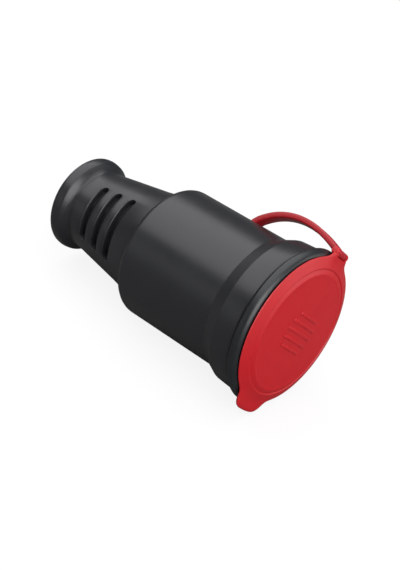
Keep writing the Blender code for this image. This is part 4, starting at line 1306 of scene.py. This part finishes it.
@dataclass
class Studio:
    """The pale floor, the soft lamps and the camera at the photograph's angle."""

    camera_mm: tuple[float, float, float] = (198.3, -398.8, -4.0)
    camera_right: tuple[float, float, float] = (0.72516, 0.43914, 0.53037)
    camera_up: tuple[float, float, float] = (-0.45366, -0.27473, 0.84777)
    lens: float = 78.142
    film: float = 36.0
    floor_half: float = 3.0
    floor_colour: str = "#6c6c6c"
    paper_colour: str = "#eeeeee"
    floor_white: float = 0.88
    shadow_reach: Point2 = (0.3, 1.0)
    world_colour: str = "#ffffff"
    world_strength: float = 0.08
    lamps: list[Softbox] = field(default_factory=lambda: [
        Softbox("overhead_softbox", (-0.40, 0.02, 0.60), (-0.40, 0.02, 0.0), (1.50, 1.12), 1.95),
        Softbox("front_softbox", (0.95, -0.30, 0.45), (0.06, 0.0, 0.03), (0.80, 0.80), 5.0),
        Softbox("rear_wall", (1.30, 1.10, 0.35), (0.0, 0.0, 0.03), (1.40, 1.00), 1.9),
        Softbox("low_panel", (-0.50, -1.10, 0.26), (-0.10, 0.0, 0.03), (1.60, 0.50), 0.45),
    ])

    def build(self, axes: CouplerAxes) -> None:
        """Set the floor, the world, the lamps and the camera.

        Args:
            axes: the coupler's frame.
        """
        self.build_floor()
        self.build_world()
        right, up = axes.direction(self.camera_right), axes.direction(self.camera_up)
        back = right.cross(up)
        for lamp in self.lamps:
            self.build_lamp(lamp)
        view = bpy.data.cameras.new("photo_camera")
        view.lens = self.lens
        view.sensor_width = self.film
        view.clip_start = 0.01
        view.clip_end = 20.0
        seat = bpy.data.objects.new("photo_camera", view)
        turn = Matrix((right, up, back)).transposed().to_4x4()
        seat.matrix_world = Matrix.Translation(axes.point(self.camera_mm)) @ turn
        bpy.context.scene.collection.objects.link(seat)
        bpy.context.scene.camera = seat

    def build_lamp(self, lamp: Softbox) -> None:
        """Hang one lamp with its width level.

        Args:
            lamp: what it is and where it hangs.
        """
        light = bpy.data.lights.new(lamp.name, "AREA")
        light.shape = "RECTANGLE"
        light.size, light.size_y = lamp.size
        light.energy = lamp.power
        light.color = linear(lamp.colour)[:3]
        holder = bpy.data.objects.new(lamp.name, light)
        way = (Vector(lamp.place) - Vector(lamp.aim)).normalized()
        level = Vector((1.0, 0.0, 0.0)) if way.z > 0.999 else Vector((0.0, 0.0, 1.0)).cross(way).normalized()
        turn = Matrix((level, way.cross(level), way)).transposed().to_4x4()
        holder.matrix_world = Matrix.Translation(lamp.place) @ turn
        bpy.context.scene.collection.objects.link(holder)

    def build_floor(self) -> None:
        """Lay the pale floor, which shows nearly white and keeps a faint shadow."""
        bm = bmesh.new()
        bmesh.ops.create_grid(bm, x_segments=1, y_segments=1, size=self.floor_half)
        mesh = bpy.data.meshes.new("studio_floor")
        bm.to_mesh(mesh)
        bm.free()
        floor = bpy.data.objects.new("studio_floor", mesh)
        bpy.context.scene.collection.objects.link(floor)
        material = bpy.data.materials.new("white_paper")
        material.use_nodes = True
        tree = material.node_tree
        tree.nodes.clear()
        bounce = add_node(tree, "ShaderNodeBsdfDiffuse", {"Color": linear(self.floor_colour)})
        paper = add_node(tree, "ShaderNodeBsdfDiffuse", {"Color": linear(self.paper_colour)})
        glow = add_node(tree, "ShaderNodeEmission", {"Color": linear("#ffffff"), "Strength": 1.0})
        ray = add_node(tree, "ShaderNodeLightPath")
        away = add_node(
            tree, "ShaderNodeVectorMath", None, {0: add_node(tree, "ShaderNodeTexCoord").outputs["Object"]},
            operation="LENGTH",
        )
        share = add_node(
            tree, "ShaderNodeMapRange",
            {1: self.shadow_reach[0], 2: self.shadow_reach[1], 3: self.floor_white, 4: 1.0},
            {0: away.outputs["Value"]},
        )
        shown = add_node(
            tree, "ShaderNodeMixShader", None, {0: share.outputs[0], 1: paper.outputs[0], 2: glow.outputs[0]}
        )
        mixed = add_node(
            tree, "ShaderNodeMixShader", None,
            {0: ray.outputs["Is Camera Ray"], 1: bounce.outputs[0], 2: shown.outputs[0]},
        )
        add_node(tree, "ShaderNodeOutputMaterial", None, {"Surface": mixed.outputs[0]})
        mesh.materials.append(material)

    def build_world(self) -> None:
        """Light the room softly and show it white to the camera."""
        world = bpy.data.worlds.new("studio_world")
        world.use_nodes = True
        tree = world.node_tree
        tree.nodes.clear()
        room = add_node(
            tree, "ShaderNodeBackground", {"Color": linear(self.world_colour), "Strength": self.world_strength}
        )
        white = add_node(tree, "ShaderNodeBackground", {"Color": linear("#ffffff"), "Strength": 1.0})
        ray = add_node(tree, "ShaderNodeLightPath")
        mixed = add_node(
            tree, "ShaderNodeMixShader", None,
            {0: ray.outputs["Is Camera Ray"], 1: room.outputs[0], 2: white.outputs[0]},
        )
        add_node(tree, "ShaderNodeOutputWorld", None, {"Surface": mixed.outputs[0]})
        bpy.context.scene.world = world


def main() -> None:
    """Build the coupler's pieces, dress them, and set the studio."""
    logging.basicConfig(level=logging.INFO, format="%(name)s: %(message)s")
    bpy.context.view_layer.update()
    lid = Lid()
    axes = CouplerAxes.from_record(frame["record"], lid.hinge_x, lid.hinge_r)
    finishes = Finishes()
    bench = Bench(axes, finishes)
    Studio().build(axes)
    Housing().build(bench)
    SocketInsert().build(bench)
    lid.build(bench)
    lid.build_pin(bench)
    lid.build_seal(bench)
    Strap().build(bench)
    CableEnd().build(bench)
    InnerWorks().dress(frame["nodes"], finishes)
    bpy.context.scene.view_settings.view_transform = "Standard"


if __name__ == "__main__":
    main()
